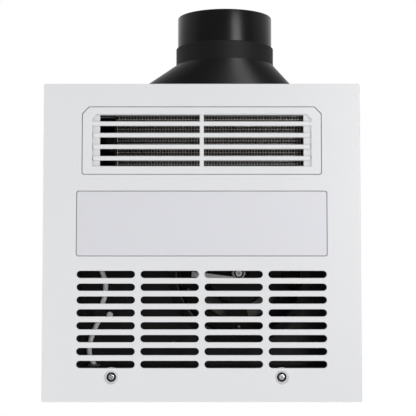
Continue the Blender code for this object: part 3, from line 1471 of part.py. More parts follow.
def collar_screw_places():
    """Seats of the collar's screws, in the corners of its flange."""
    _, flange, *_ = collar_levels()
    left = BASE_LEFT - COLLAR_SCREW_INSET
    right = BASE_RIGHT + COLLAR_SCREW_INSET
    half = BASE_HEIGHT / 2 + COLLAR_SCREW_INSET
    return [Vector((x, flange, DUCT_Z + z)) for x in (left, right) for z in (-half, half)]


def make_duct_collar():
    """Collar from a rectangle over an oval shoulder to a round spigot, with a stop ring and a flap seat."""
    seat, flange, flare, ring, spigot, mouth = collar_levels()
    bore = SPIGOT_RADIUS - COLLAR_WALL
    sections = [
        base_section(seat, COLLAR_FLANGE),
        base_section(flange, COLLAR_FLANGE),
        base_section(flange, 0),
        shoulder_section(flare, 0),
        round_section(ring, STOP_RING_RADIUS),
        round_section(spigot, STOP_RING_RADIUS),
        round_section(spigot, SPIGOT_RADIUS),
        round_section(mouth, SPIGOT_RADIUS),
        round_section(mouth, bore),
        round_section(ring - SEAT_LENGTH, bore),
        round_section(ring - SEAT_LENGTH, SEAT_RADIUS),
        round_section(ring, SEAT_RADIUS),
        round_section(ring, bore),
        shoulder_section(flare, -COLLAR_WALL),
        base_section(seat, -COLLAR_WALL),
    ]
    bm = bmesh.new()
    rings = [[bm.verts.new(point) for point in section] for section in sections]
    for first, second in zip(rings, rings[1:] + rings[:1]):
        for index in range(COLLAR_POINTS):
            after = (index + 1) % COLLAR_POINTS
            bm.faces.new((first[index], first[after], second[after], second[index]))
    bmesh.ops.recalc_face_normals(bm, faces=bm.faces)
    collar = mesh_object("duct_collar", bm, PARTS)
    for place in collar_screw_places():
        cut(collar, screw_hole(place, (0, 1, 0)))
    start, end = flap_pin_ends()
    sideways = Vector((OVERRUN, 0, 0))
    cut(
        collar,
        rod("flap_pin_hole", start - sideways, end + sideways, FLAP_PIN_RADIUS + GAP, SMALL_STEPS, TOOLS),
    )
    return collar


def flap_pin_place():
    """Middle of the flap's pin."""
    _, _, _, ring, *_ = collar_levels()
    seat_face = ring - SEAT_LENGTH - GAP
    return Vector((DUCT_X, seat_face - FLAP_BARREL_RADIUS, DUCT_Z + FLAP_PIN_HEIGHT))


def flap_pin_ends():
    """Both ends of the flap's pin."""
    half = Vector((FLAP_PIN_LENGTH / 2, 0, 0))
    return flap_pin_place() - half, flap_pin_place() + half


def make_flap():
    """Backdraught flap that hangs from its pin against the seat, and the pin."""
    pivot = flap_pin_place()
    back = pivot.y + FLAP_BARREL_RADIUS
    front = back - FLAP_THICKNESS
    flap = rod("backdraught_flap", (DUCT_X, back, DUCT_Z), (DUCT_X, front, DUCT_Z), FLAP_RADIUS)
    cut(
        flap,
        block(
            "flap_top",
            (DUCT_X - FLAP_RADIUS, front - OVERRUN, pivot.z),
            (DUCT_X + FLAP_RADIUS, back + OVERRUN, DUCT_Z + FLAP_RADIUS + OVERRUN),
            TOOLS,
        ),
    )
    half = Vector((FLAP_BARREL_LENGTH / 2, 0, 0))
    join(flap, rod("flap_barrel", pivot - half, pivot + half, FLAP_BARREL_RADIUS, SMALL_STEPS, TOOLS))
    start, end = flap_pin_ends()
    cut(flap, rod("flap_bore", start, end, FLAP_PIN_RADIUS + GAP, SMALL_STEPS, TOOLS))
    pin = rod("flap_pin", start, end, FLAP_PIN_RADIUS, SMALL_STEPS)
    return flap, pin


# Wiring

def post_places():
    """Corners of the terminal box that hold the posts for the cover's screws."""
    inner_left, inner_right = BOX_LEFT + BOX_WALL, BOX_RIGHT - BOX_WALL
    inner_low, inner_high = BOX_LOW + BOX_WALL, BOX_HIGH - BOX_WALL
    return [
        (inner_left - BITE, inner_high - POST_SIDE, inner_left + POST_SIDE, inner_high + BITE),
        (inner_right - POST_SIDE, inner_low - BITE, inner_right + BITE, inner_low + POST_SIDE),
    ]


def cover_screw_places():
    """Seats of the screws on the cover of the terminal box."""
    y = BOX_FAR_Y + GAP + COVER_THICKNESS
    return [
        Vector((BOX_LEFT + POST_SCREW_INSET, y, BOX_HIGH - POST_SCREW_INSET)),
        Vector((BOX_RIGHT - POST_SCREW_INSET, y, BOX_LOW + POST_SCREW_INSET)),
    ]


def make_terminal_box():
    """Terminal box on the housing, its cover, and the terminal block inside."""
    box = block("terminal_box", (BOX_LEFT, BOX_NEAR_Y, BOX_LOW), (BOX_RIGHT, BOX_FAR_Y, BOX_HIGH))
    wall = BOX_WALL
    hollow_low = (BOX_LEFT + wall, BOX_NEAR_Y + wall, BOX_LOW + wall)
    hollow_high = (BOX_RIGHT - wall, BOX_FAR_Y + OVERRUN, BOX_HIGH - wall)
    cut(box, block("box_hollow", hollow_low, hollow_high, TOOLS))
    for left, low, right, high in post_places():
        join(
            box,
            block("cover_post", (left, BOX_NEAR_Y + BITE, low), (right, BOX_FAR_Y - OVERRUN, high), TOOLS),
        )
    for x, z in (LAMP_ENTRY, POWER_ENTRY):
        cut(box, entry_hole(x, z))
    gland_start = (BOX_RIGHT - wall - OVERRUN, GLAND_Y, GLAND_Z)
    gland_end = (BOX_RIGHT + OVERRUN, GLAND_Y, GLAND_Z)
    cut(box, rod("gland_hole", gland_start, gland_end, GLAND_NECK_RADIUS + GAP, group=TOOLS))

    cover_near = BOX_FAR_Y + GAP
    cover = block(
        "terminal_cover",
        (BOX_LEFT, cover_near, BOX_LOW),
        (BOX_RIGHT, cover_near + COVER_THICKNESS, BOX_HIGH),
    )
    round_edges(cover, COVER_EDGE)
    for place in cover_screw_places():
        cut(box, screw_hole(place, (0, 1, 0)))
        cut(cover, screw_hole(place, (0, 1, 0)))

    low = Vector((TERMINAL_LEFT, BOX_NEAR_Y + wall + GAP, TERMINAL_LOW))
    terminal = block("terminal_block", low, low + TERMINAL_SIZE)
    front = low.y + TERMINAL_SIZE.y
    for way in range(1, TERMINAL_WAYS):
        x = low.x + TERMINAL_SIZE.x * way / TERMINAL_WAYS
        groove_low = (x - TERMINAL_GROOVE / 2, front - TERMINAL_GROOVE, low.z - OVERRUN)
        groove_high = (x + TERMINAL_GROOVE / 2, front + OVERRUN, low.z + TERMINAL_SIZE.z + OVERRUN)
        cut(terminal, block("terminal_groove", groove_low, groove_high, TOOLS))
    return box, cover, terminal


def make_cable_gland():
    """Gland for the mains cable, in the side of the terminal box."""
    flange_start = GAP
    flange_end = flange_start + GLAND_FLANGE
    end = flange_end + GLAND_NUT
    neck_end = -BOX_WALL - GLAND_TAIL
    profile = [
        (GLAND_NUT_RADIUS - OVERRUN, end), (GLAND_NUT_RADIUS, end - OVERRUN), (
            GLAND_NUT_RADIUS, flange_end
        ),
        (GLAND_FLANGE_RADIUS, flange_end), (GLAND_FLANGE_RADIUS, flange_start),
        (GLAND_NECK_RADIUS, flange_start), (GLAND_NECK_RADIUS, neck_end),
        (GLAND_BORE_RADIUS, neck_end), (GLAND_BORE_RADIUS, end),
    ]
    return turned(
        "cable_gland", profile, (BOX_RIGHT, GLAND_Y, GLAND_Z), (1, 0, 0), SMALL_STEPS * 2, ring=True
    )


def make_grommet(name, entry, lead_radius):
    """Rubber grommet where a lead passes through the housing into the terminal box."""
    x, z = entry
    outer_start = SHEET + GAP + BOX_WALL + GAP
    inner_start = -GAP
    bore = lead_radius + GAP
    profile = [
        (GROMMET_FLANGE_RADIUS, outer_start + GROMMET_FLANGE), (GROMMET_FLANGE_RADIUS, outer_start),
        (GROMMET_NECK_RADIUS, outer_start), (GROMMET_NECK_RADIUS, inner_start),
        (GROMMET_FLANGE_RADIUS, inner_start), (GROMMET_FLANGE_RADIUS, inner_start - GROMMET_FLANGE),
        (bore, inner_start - GROMMET_FLANGE), (bore, outer_start + GROMMET_FLANGE),
    ]
    return turned(name, profile, (x, INNER_HALF, z), (0, 1, 0), SMALL_STEPS * 2, ring=True)


# Fasteners

def make_screws():
    """Screws of the collar, the motor, the casing, the blower plate, the capacitor and the cover."""
    screws = []
    for index, place in enumerate(collar_screw_places(), 1):
        seat = place + Vector((0, -GAP, 0))
        screws.append(
            screw(f"collar_screw_{index}", seat, (0, -1, 0), COLLAR_FLANGE_THICKNESS + SHEET + GAP)
        )
    for index, place in enumerate(motor_screw_places(), 1):
        seat = place + Vector((0, 0, GAP))
        screws.append(
            screw(f"motor_screw_{index}", seat, (0, 0, 1), MOTOR_PLATE + CASING_WALL + SCREW_REACH / 2)
        )
    below = PLATE_HEIGHT - GAP
    for index, (x, y) in enumerate(casing_screw_places(), 1):
        screws.append(
            screw(f"casing_screw_{index}", (x, y, below), (0, 0, -1), PLATE_THICKNESS + LUG_THICKNESS)
        )
    for index, (x, y) in enumerate(plate_screw_places(), 1):
        screws.append(
            screw(f"plate_screw_{index}", (x, y, below), (0, 0, -1), PLATE_THICKNESS + SHEET + SCREW_REACH)
        )
    seat = (CAPACITOR_X, CAPACITOR_Y, below - FOOT_THICKNESS - GAP)
    screws.append(screw("clamp_screw", seat, (0, 0, -1), FOOT_THICKNESS + PLATE_THICKNESS + SCREW_REACH))
    for index, place in enumerate(cover_screw_places(), 1):
        seat = place + Vector((0, GAP, 0))
        screws.append(screw(f"cover_screw_{index}", seat, (0, 1, 0), COVER_THICKNESS + 2 * SCREW_REACH))
    return screws


def main():
    """Make every piece, dress it, and hang the moving ones on their axes."""
    clear_scene()
    panel = make_front_panel()
    insert = make_louvre_insert()
    diffuser, tray, board, driver = make_light()
    plug, socket = make_lamp_connector()
    panel_screws = make_panel_screws()
    housing = make_housing()
    brackets = [
        make_hinge_bracket("left", -HINGE_SPACING / 2),
        make_hinge_bracket("right", HINGE_SPACING / 2),
    ]
    plate = make_blower_plate()
    inlet_ring = make_inlet_ring()
    wheel = make_impeller()
    cage = make_impeller_cage()
    shaft, nut = make_shaft_and_nut()
    casing = make_scroll_casing()
    motor = make_fan_motor()
    capacitor = make_capacitor()
    clamp = make_lead_clamp()
    frame, fins, bars = make_heater()
    cutout = make_thermal_cutout()
    duct = make_warm_air_duct()
    guard = make_guard()
    door = make_air_door()
    door_motor = make_door_motor()
    collar = make_duct_collar()
    flap, flap_pin = make_flap()
    box, cover, terminal = make_terminal_box()
    gland = make_cable_gland()
    lamp_grommet = make_grommet("lamp_grommet", LAMP_ENTRY, LAMP_LEAD_RADIUS)
    power_grommet = make_grommet("power_grommet", POWER_ENTRY, HEATER_LEAD_RADIUS)
    lamp_lead = lead("lamp_lead", LAMP_LEAD_ROUTE, LAMP_LEAD_RADIUS)
    heater_lead = lead("heater_lead", HEATER_LEAD_ROUTE, HEATER_LEAD_RADIUS)
    screws = make_screws()

    dress("white_plastic", panel, insert, plug, socket, terminal)
    dress("frosted_plastic", diffuser)
    dress("black_plastic", collar, flap, plate, inlet_ring, wheel, cage)
    dress("dark_plastic", casing, capacitor, clamp, driver, box, cover, gland, door, frame, duct)
    dress("galvanised_steel", housing, motor, tray, *brackets)
    dress("bright_steel", shaft, nut, flap_pin, cutout, door_motor, *screws, *panel_screws)
    dress("aluminium", board, *fins, *bars)
    dress("guard_wire", guard)
    dress("white_sheath", lamp_lead)
    dress("brown_sleeve", heater_lead)
    dress("grey_rubber", lamp_grommet, power_grommet)

    panel_pieces = (panel, insert, diffuser, tray, board, driver, plug, *panel_screws)
    put_on_axis("panel_hinge", (0, HINGE_Y, HINGE_Z), *panel_pieces)
    put_on_axis("blower_axis", BLOWER, wheel, cage, shaft, nut)
    put_on_axis("door_axis", (0, DOOR_Y, DOOR_Z), door)
    put_on_axis("flap_axis", flap_pin_place(), flap)


main()
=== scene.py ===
"""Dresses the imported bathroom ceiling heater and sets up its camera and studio.

Metres, +Z up. The front panel faces down, and the exhaust duct leaves towards -Y.
"""
import logging
import math
from dataclasses import dataclass
from enum import Enum
from typing import Callable, Sequence

import bmesh
import bpy
from mathutils import Matrix, Vector


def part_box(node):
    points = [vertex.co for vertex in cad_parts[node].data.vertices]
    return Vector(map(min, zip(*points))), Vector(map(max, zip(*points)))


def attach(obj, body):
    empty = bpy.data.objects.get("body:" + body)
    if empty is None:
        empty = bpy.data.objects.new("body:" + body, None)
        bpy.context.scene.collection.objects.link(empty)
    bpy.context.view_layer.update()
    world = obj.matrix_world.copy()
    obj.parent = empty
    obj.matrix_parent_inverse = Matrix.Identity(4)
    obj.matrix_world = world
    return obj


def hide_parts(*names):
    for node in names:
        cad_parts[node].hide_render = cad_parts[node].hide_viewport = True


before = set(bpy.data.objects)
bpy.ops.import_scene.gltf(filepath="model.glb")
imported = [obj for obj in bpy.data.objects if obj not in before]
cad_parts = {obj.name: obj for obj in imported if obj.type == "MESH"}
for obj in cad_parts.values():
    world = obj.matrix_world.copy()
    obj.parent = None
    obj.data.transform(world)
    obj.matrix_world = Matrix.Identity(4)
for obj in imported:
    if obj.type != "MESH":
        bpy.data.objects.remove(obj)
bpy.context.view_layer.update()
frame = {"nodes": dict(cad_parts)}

LOG = logging.getLogger("ceiling_heater")
Flat = tuple[float, float]
Point = tuple[float, float, float]
Outline = Sequence[Flat]
OutlineAt = Callable[[float], Outline]
Section = Sequence[Sequence[float]]
Colour = tuple | bpy.types.NodeSocket

UP: Point = (0.0, 0.0, 1.0)
DOWN: Point = (0.0, 0.0, -1.0)
TO_DUCT: Point = (0.0, -1.0, 0.0)
FROM_DUCT: Point = (0.0, 1.0, 0.0)
QUARTER = math.pi / 2

# Places that several pieces share
PANEL_FACE = -0.016
PANEL_SCREWS_X = (-0.0849, 0.0751)
PANEL_SCREWS_Y = 0.127
DUCT_X = 0.0234
DUCT_Z = 0.099

# Fineness of the meshes
SMALLEST_ROUND = 0.00005
BACK_LIP = 0.0003
LIP_SUPPORT = 0.0004
MERGE_DISTANCE = 0.000001
FILL_SCALE = 1000.0
FILL_SKEW = (0.0007, 0.0013, 0.0004)


class Body(Enum):
    """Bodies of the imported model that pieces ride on."""

    BASE = "base"
    PANEL = "panel"
    WHEEL = "blower_wheel"
    FLAP = "flap"


class Slot(Enum):
    """Material slots of the record, listed on the finishes."""

    WHITE = "white_plastic"
    FROSTED = "frosted_plastic"
    BLACK = "black_plastic"
    DARK = "dark_plastic"
    GALVANISED = "galvanised_steel"
    BRIGHT = "bright_steel"
    ALUMINIUM = "aluminium"
    GUARD = "guard_wire"
    SHEATH = "white_sheath"
    SLEEVE = "brown_sleeve"


# Shader graph

class Value:
    """A value socket whose operators add Math nodes."""

    def __init__(self, graph: "Graph", socket: bpy.types.NodeSocket) -> None:
        """Wrap a socket of a graph."""
        self.graph = graph
        self.socket = socket

    def _math(self, operation: str, *operands: "Value | float", clamp: bool = False) -> "Value":
        """Add one Math node.

        Args:
            operation: The node's operation.
            operands: Its inputs, in order.
            clamp: Whether the result is held between 0 and 1.

        Returns:
            The node's result.
        """
        settings = {"operation": operation, "use_clamp": clamp}
        return self.graph.value("ShaderNodeMath", settings, dict(enumerate(operands)))

    def __add__(self, other: "Value | float") -> "Value":
        """Add."""
        return self._math("ADD", self, other)

    def __radd__(self, other: float) -> "Value":
        """Add to a number."""
        return self._math("ADD", other, self)

    def __sub__(self, other: "Value | float") -> "Value":
        """Subtract."""
        return self._math("SUBTRACT", self, other)

    def __rsub__(self, other: float) -> "Value":
        """Subtract from a number."""
        return self._math("SUBTRACT", other, self)

    def __mul__(self, other: "Value | float") -> "Value":
        """Multiply."""
        return self._math("MULTIPLY", self, other)

    def __rmul__(self, other: float) -> "Value":
        """Multiply a number."""
        return self._math("MULTIPLY", other, self)

    def __pow__(self, exponent: float) -> "Value":
        """Raise to a power."""
        return self._math("POWER", self, exponent)

    def sine(self) -> "Value":
        """Sine of the value."""
        return self._math("SINE", self)

    def over(self, limit: float) -> "Value":
        """1 where the value is over a limit, else 0."""
        return self._math("GREATER_THAN", self, limit)

    def between(self, low: float, high: float) -> "Value":
        """Ramp from 0 at low to 1 at high."""
        return self._math("DIVIDE", self - low, high - low, clamp=True)


class Graph:
    """The node tree of one material or world."""

    def __init__(self, tree: bpy.types.NodeTree) -> None:
        """Clear the tree and keep it."""
        tree.nodes.clear()
        self.tree = tree

    def node(self, kind: str, settings: dict | None = None, inputs: dict | None = None) -> bpy.types.Node:
        """Add a node.

        Args:
            kind: The node's type.
            settings: Its properties, set first.
            inputs: Values, sockets or wrapped values for its inputs, by name or index.

        Returns:
            The new node.
        """
        made = self.tree.nodes.new(kind)
        for key, setting in (settings or {}).items():
            setattr(made, key, setting)
        for key, given in (inputs or {}).items():
            target = made.inputs[key]
            if isinstance(given, Value):
                given = given.socket
            if isinstance(given, bpy.types.NodeSocket):
                self.tree.links.new(given, target)
            else:
                target.default_value = given
        return made

    def value(self, kind: str, settings: dict | None = None, inputs: dict | None = None) -> Value:
        """Add a node and wrap its first output."""
        return Value(self, self.node(kind, settings, inputs).outputs[0])

    def attribute(self, name: str) -> Value:
        """A number kept on the mesh's points."""
        return Value(self, self.node("ShaderNodeAttribute", {"attribute_name": name}).outputs["Fac"])

    def place(self) -> bpy.types.NodeSocket:
        """Object coordinates."""
        return self.node("ShaderNodeTexCoord").outputs["Object"]

    def axes(self) -> tuple[Value, Value, Value]:
        """The three object coordinates as values."""
        split = self.node("ShaderNodeSeparateXYZ", inputs={0: self.place()})
        return tuple(Value(self, split.outputs[index]) for index in range(3))

    def noise(self, scale: float, detail: float = 2.0, stretch: Point | None = None) -> Value:
        """Noise about 0.5 on object coordinates.

        Args:
            scale: Waves per metre.
            detail: Octaves.
            stretch: Factors on the three coordinates.

        Returns:
            The noise.
        """
        where = self.place()
        if stretch:
            where = self.node("ShaderNodeMapping", inputs={0: where, "Scale": stretch}).outputs[0]
        return self.value("ShaderNodeTexNoise", inputs={"Vector": where, "Scale": scale, "Detail": detail})

    def blend(self, factor: Value | float, first: Colour, second: Colour) -> bpy.types.NodeSocket:
        """Mix two colours."""
        mix = self.node("ShaderNodeMix", {"data_type": "RGBA"}, {0: factor, 6: first, 7: second})
        return mix.outputs[2]

    def bump(self, height: Value, distance: float) -> bpy.types.NodeSocket:
        """Normal raised by a height."""
        inputs = {"Height": height, "Distance": distance, "Strength": 1.0}
        return self.node("ShaderNodeBump", inputs=inputs).outputs[0]

    def finish(self, inputs: dict) -> None:
        """Close the material with a Principled shader."""
        shader = self.node("ShaderNodeBsdfPrincipled", inputs=inputs)
        self.node("ShaderNodeOutputMaterial", inputs={"Surface": shader.outputs[0]})


def rgba(colour: Point, factor: float = 1.0) -> tuple[float, float, float, float]:
    """A colour, scaled, with an alpha of 1."""
    return (colour[0] * factor, colour[1] * factor, colour[2] * factor, 1.0)


# Finishes

@dataclass(frozen=True)
class Finish:
    """A surface finish that makes its own material."""

    name: str
    colour: Point
    slot: Slot | None = None

    def material(self) -> bpy.types.Material:
        """The finish's material, made once.

        Returns:
            The material.
        """
        made = bpy.data.materials.get(self.name)
        if not made:
            made = bpy.data.materials.new(self.name)
            made.use_nodes = True
            self.paint(Graph(made.node_tree))
        return made

    def paint(self, graph: Graph) -> None:
        """Draw the finish's nodes."""
        raise NotImplementedError


@dataclass(frozen=True)
class Moulding(Finish):
    """Moulded plastic: fine spark grain, slow tone drift and uneven gloss."""

    roughness: float = 0.4
    drift: float = 0.02
    grain: float = 0.00001
    grain_scale: float = 2400.0
    shine: float = 0.5
    drift_scale: float = 9.0
    gloss_scale: float = 55.0
    gloss_drift: float = 0.06

    def gloss(self, graph: Graph) -> Value:
        """Roughness, uneven in slow streaks."""
        return self.roughness + (graph.noise(self.gloss_scale, 4.0) - 0.5) * self.gloss_drift

    def paint(self, graph: Graph) -> None:
        """Draw the finish's nodes.

        Args:
            graph: The node tree that it adds to.
        """
        slow = graph.noise(self.drift_scale, 3.0)
        fine = graph.noise(self.grain_scale, 2.0)
        tone = graph.blend(slow, rgba(self.colour, 1.0 - self.drift), rgba(self.colour, 1.0 + self.drift))
        graph.finish({
            "Base Color": tone,
            "Roughness": self.gloss(graph),
            "Normal": graph.bump(fine, self.grain),
            "Specular IOR Level": self.shine,
        })


@dataclass(frozen=True)
class CollarMoulding(Moulding):
    """Moulding with a glossy spigot, a matt stop ring and a satin flare."""

    ring_y: float = -0.1875
    spigot_y: float = -0.2056
    satin: float = 0.12
    matt: float = 0.34

    def gloss(self, graph: Graph) -> Value:
        """Roughness, in three zones along the duct.

        Args:
            graph: The node tree that it adds to.

        Returns:
            The roughness over the surface.
        """
        _, y, _ = graph.axes()
        zones = y.over(self.spigot_y) * self.matt + y.over(self.ring_y) * (self.satin - self.matt)
        return super().gloss(graph) + zones


@dataclass(frozen=True)
class FrostedLens(Finish):
    """Frosted diffuser: milky plastic with fine prisms that soften its gloss."""

    prism_pitch: float = 0.0012
    prism_height: float = 0.00001
    tint: Point = (0.69, 0.695, 0.74)
    cloud_scale: float = 14.0
    roughness: Flat = (0.42, 0.54)
    scatter: float = 0.08
    scatter_radius: Point = (0.004, 0.004, 0.004)

    def paint(self, graph: Graph) -> None:
        """Draw the finish's nodes.

        Args:
            graph: The node tree that it adds to.
        """
        x, y, _ = graph.axes()
        turns = math.tau / self.prism_pitch
        prisms = (x * turns).sine() * (y * turns).sine()
        cloud = graph.noise(self.cloud_scale, 3.0)
        low, high = self.roughness
        tone = graph.blend(cloud, rgba(self.colour), rgba(self.tint))
        graph.finish({
            "Base Color": tone,
            "Roughness": low + cloud * (high - low),
            "Normal": graph.bump(prisms, self.prism_height),
            "Subsurface Weight": self.scatter,
            "Subsurface Radius": self.scatter_radius,
        })


@dataclass(frozen=True)
class GalvanisedSheet(Finish):
    """Zinc dipped sheet: flat crystals that differ in tone and gloss, and rolling marks; with shade_inside
    set, painted shade darkens the inside, and the flange's underside is darkened too.
    """

    crystal_scale: float = 95.0
    warp_scale: float = 60.0
    warp: Point = (0.004, 0.004, 0.004)
    roughness: float = 0.40
    contrast: float = 0.20
    crystal_share: float = 0.7
    crystal_gloss: float = 0.16
    rolling_scale: float = 220.0
    rolling: Point = (1.0, 0.06, 0.4)
    stain_scale: float = 12.0
    stain_gloss: float = 0.12
    relief: float = 0.00002
    metal: float = 0.9
    # Painted shade for the inside: there the sheet's colour is scaled by inside_shade_tone and loses its
    # metal, inside the walls and under the roof; below underside_z the flange's underside takes the same
    # dark tone.
    shade_inside: bool = False
    inside_shade_tone: float = 0.02
    shade_half: float = 0.1195
    shade_top: float = 0.1575
    underside_z: float = -0.0005

    def _outside(self, graph: Graph) -> Value | float:
        """One on bare sheet, nothing where painted shade darkens the inside, and nothing on the flange's
        underside.

        Args:
            graph: The node tree that it adds to.

        Returns:
            The mask.
        """
        if not self.shade_inside:
            return 1.0
        x, y, z = graph.axes()
        # Mask: zero inside the walls and under the roof, where painted shade stands in for the housing's
        # shade, and zero on the flange's underside below underside_z.
        limit = self.shade_half ** 2
        beyond = (x ** 2.0).over(limit) + (y ** 2.0).over(limit) + z.over(self.shade_top)
        return beyond.between(0.0, 1.0) * z.over(self.underside_z)

    def paint(self, graph: Graph) -> None:
        """Draw the finish's nodes.

        Args:
            graph: The node tree that it adds to.
        """
        place = graph.place()
        drift = graph.node("ShaderNodeTexNoise", inputs={"Vector": place, "Scale": self.warp_scale})
        inputs = {0: drift.outputs["Color"], 1: self.warp, 2: place}
        warped = graph.node("ShaderNodeVectorMath", {"operation": "MULTIPLY_ADD"}, inputs).outputs[0]
        cells = graph.node("ShaderNodeTexVoronoi", inputs={"Vector": warped, "Scale": self.crystal_scale})
        shade = graph.value("ShaderNodeRGBToBW", inputs={0: cells.outputs["Color"]})
        rolled = graph.noise(self.rolling_scale, 3.0, self.rolling)
        stain = graph.noise(self.stain_scale, 4.0)
        mixed = shade * self.crystal_share + rolled * (1.0 - self.crystal_share)
        low, high = 1.0 - self.contrast, 1.0 + self.contrast * 0.5
        outside = self._outside(graph)
        tone = graph.blend(mixed, rgba(self.colour, low), rgba(self.colour, high))
        # Painted shade: the inside takes a near-black tone in place of the bare zinc.
        if self.shade_inside:
            tone = graph.blend(outside, rgba(self.colour, self.inside_shade_tone), tone)
        graph.finish({
            "Base Color": tone,
            "Metallic": outside * self.metal,
            "Roughness": self.roughness + shade * self.crystal_gloss + (stain - 0.5) * self.stain_gloss,
            "Normal": graph.bump(mixed, self.relief),
        })


@dataclass(frozen=True)
class PlatedMetal(Finish):
    """Plated or drawn metal with fine marks along one direction."""

    roughness: float = 0.28
    marks: Point = (1.0, 1.0, 0.08)
    mark_scale: float = 1600.0
    mark_height: float = 0.000006
    cloud_scale: float = 130.0
    cloud_tones: Flat = (0.82, 1.08)
    cloud_gloss: float = 0.14

    def paint(self, graph: Graph) -> None:
        """Draw the finish's nodes.

        Args:
            graph: The node tree that it adds to.
        """
        marks = graph.noise(self.mark_scale, 2.0, self.marks)
        cloud = graph.noise(self.cloud_scale, 3.0)
        tone = graph.blend(cloud, *(rgba(self.colour, factor) for factor in self.cloud_tones))
        graph.finish({
            "Base Color": tone,
            "Metallic": 1.0,
            "Roughness": self.roughness + (cloud - 0.5) * self.cloud_gloss,
            "Normal": graph.bump(marks, self.mark_height),
        })


@dataclass(frozen=True)
class BraidedSleeve(Finish):
    """Braided sleeve: crossing strands wound round the lead."""

    strand: float = 0.0011
    strands: int = 8
    height: float = 0.00012
    tones: Flat = (0.55, 1.25)
    roughness: float = 0.62
    crest_gloss: float = 0.15

    def paint(self, graph: Graph) -> None:
        """Draw the finish's nodes.

        Args:
            graph: The node tree that it adds to.
        """
        run = graph.attribute("along") * (math.tau / self.strand)
        turn = graph.attribute("around") * (math.tau * self.strands)
        weave = (run + turn).sine() * (run - turn).sine()
        lifted = weave * 0.5 + 0.5
        tone = graph.blend(lifted, *(rgba(self.colour, factor) for factor in self.tones))
        graph.finish({
            "Base Color": tone,
            "Roughness": self.roughness + lifted * self.crest_gloss,
            "Normal": graph.bump(lifted, self.height),
        })


@dataclass(frozen=True)
class LightBoard(Finish):
    """White circuit board with rows of yellow light chips."""

    pitch: float = 0.0135
    chip_share: float = 0.22
    chip_colour: Point = (0.75, 0.52, 0.08)
    chip_gloss: float = 0.25
    chip_height: float = 0.0004
    roughness: float = 0.35
    mask_scale: float = 600.0
    mask_tones: Flat = (0.94, 1.02)

    def paint(self, graph: Graph) -> None:
        """Draw the finish's nodes.

        Args:
            graph: The node tree that it adds to.
        """
        x, y, _ = graph.axes()
        turns = math.pi / self.pitch
        edge = math.cos(self.chip_share * math.pi / 2) ** 2
        across, up = (((way * turns).sine() ** 2.0).over(edge) for way in (x, y))
        chip = across * up
        mask = graph.noise(self.mask_scale, 2.0)
        board = graph.blend(mask, *(rgba(self.colour, factor) for factor in self.mask_tones))
        graph.finish({
            "Base Color": graph.blend(chip, board, rgba(self.chip_colour)),
            "Roughness": self.roughness + chip * self.chip_gloss,
            "Normal": graph.bump(chip, self.chip_height),
        })


WHITE_MOULDING = Moulding(
    "white_moulding", (0.765, 0.77, 0.785), Slot.WHITE,
    roughness=0.36, drift=0.012, shine=0.3)
INNER_WHITE = Moulding("inner_white_moulding", (0.74, 0.74, 0.74), roughness=0.42, drift=0.03)
LENS = FrostedLens("frosted_lens", (0.69, 0.69, 0.725), Slot.FROSTED)
GLOSS_BLACK = Moulding(
    "gloss_black_moulding", (0.003, 0.003, 0.0035), Slot.BLACK,
    roughness=0.27, drift=0.08, grain=0.000003, shine=0.1)
COLLAR_BLACK = CollarMoulding(
    "collar_moulding", (0.003, 0.003, 0.0035), Slot.BLACK,
    roughness=0.26, drift=0.08, grain=0.000002, shine=0.13)
WHEEL_BLACK = Moulding(
    "wheel_black_moulding", (0.005, 0.005, 0.0054), Slot.BLACK, roughness=0.34, drift=0.1, shine=0.14)
SATIN_BLACK = Moulding(
    "satin_black_moulding", (0.004, 0.004, 0.0045), Slot.BLACK, roughness=0.45, drift=0.12, shine=0.15)
MATT_BLACK = Moulding(
    "matt_black_moulding", (0.006, 0.006, 0.0065), Slot.DARK,
    roughness=0.6, drift=0.12, shine=0.15)
SHEET_BLACK = Moulding(
    "black_sheet", (0.004, 0.004, 0.004),
    roughness=0.7, drift=0.15, grain=0.00002, shine=0.1)
CAPACITOR_CASE = Moulding("capacitor_case", (0.016, 0.016, 0.017), roughness=0.5, drift=0.12, shine=0.3)
# Painted shade: a black ring set in each panel screw well stands in for the shade deep round the screw head.
SHADE_BLACK = Moulding(
    "painted_shade_black", (0.003, 0.003, 0.003), Slot.BLACK, roughness=0.8, drift=0.15, grain=0.00002, shine=0.08)
GALVANISED = GalvanisedSheet("galvanised_sheet", (0.56, 0.57, 0.58))
# Housing sheet whose inside carries painted shade.
SHADE_PAINTED_SHEET = GalvanisedSheet("galvanised_sheet_painted_shade", (0.56, 0.57, 0.58), Slot.GALVANISED, shade_inside=True)
MOTOR_SHELL = PlatedMetal("cast_motor_shell", (0.12, 0.115, 0.11), roughness=0.55, mark_scale=700.0)
BRIGHT_STEEL = PlatedMetal("bright_plated_steel", (0.72, 0.72, 0.71), Slot.BRIGHT, roughness=0.24)
SCREW_STEEL = PlatedMetal("screw_steel", (0.52, 0.52, 0.51), Slot.BRIGHT, roughness=0.28)
RIVET_STEEL = PlatedMetal("rivet_steel", (0.07, 0.07, 0.07), Slot.BRIGHT, roughness=0.40)
DARK_CAN = PlatedMetal("dark_motor_can", (0.04, 0.04, 0.04), roughness=0.55)
# Painted highlight: the lock tab and the clamp screw heads, plated steel, are drawn as near-white matt
# plastic so that they show as bright as a glint under any lamp.
GLINT_WHITE_STEEL = Moulding(
    "steel_with_painted_glint", (0.90, 0.90, 0.89), Slot.BRIGHT,
    roughness=0.32, drift=0.08, grain=0.00002, grain_scale=1500.0)
# Painted shade: the aluminium fins and heater bars get a near-black colour that stands in for the shade they
# lie in inside the housing.
FIN_METAL = PlatedMetal(
    "fin_aluminium_painted_shade", (0.02, 0.02, 0.019), Slot.ALUMINIUM,
    roughness=0.45, marks=(0.2, 1.0, 1.0))
ELEMENT_METAL = PlatedMetal("element_aluminium_painted_shade", (0.02, 0.02, 0.019), roughness=0.55)
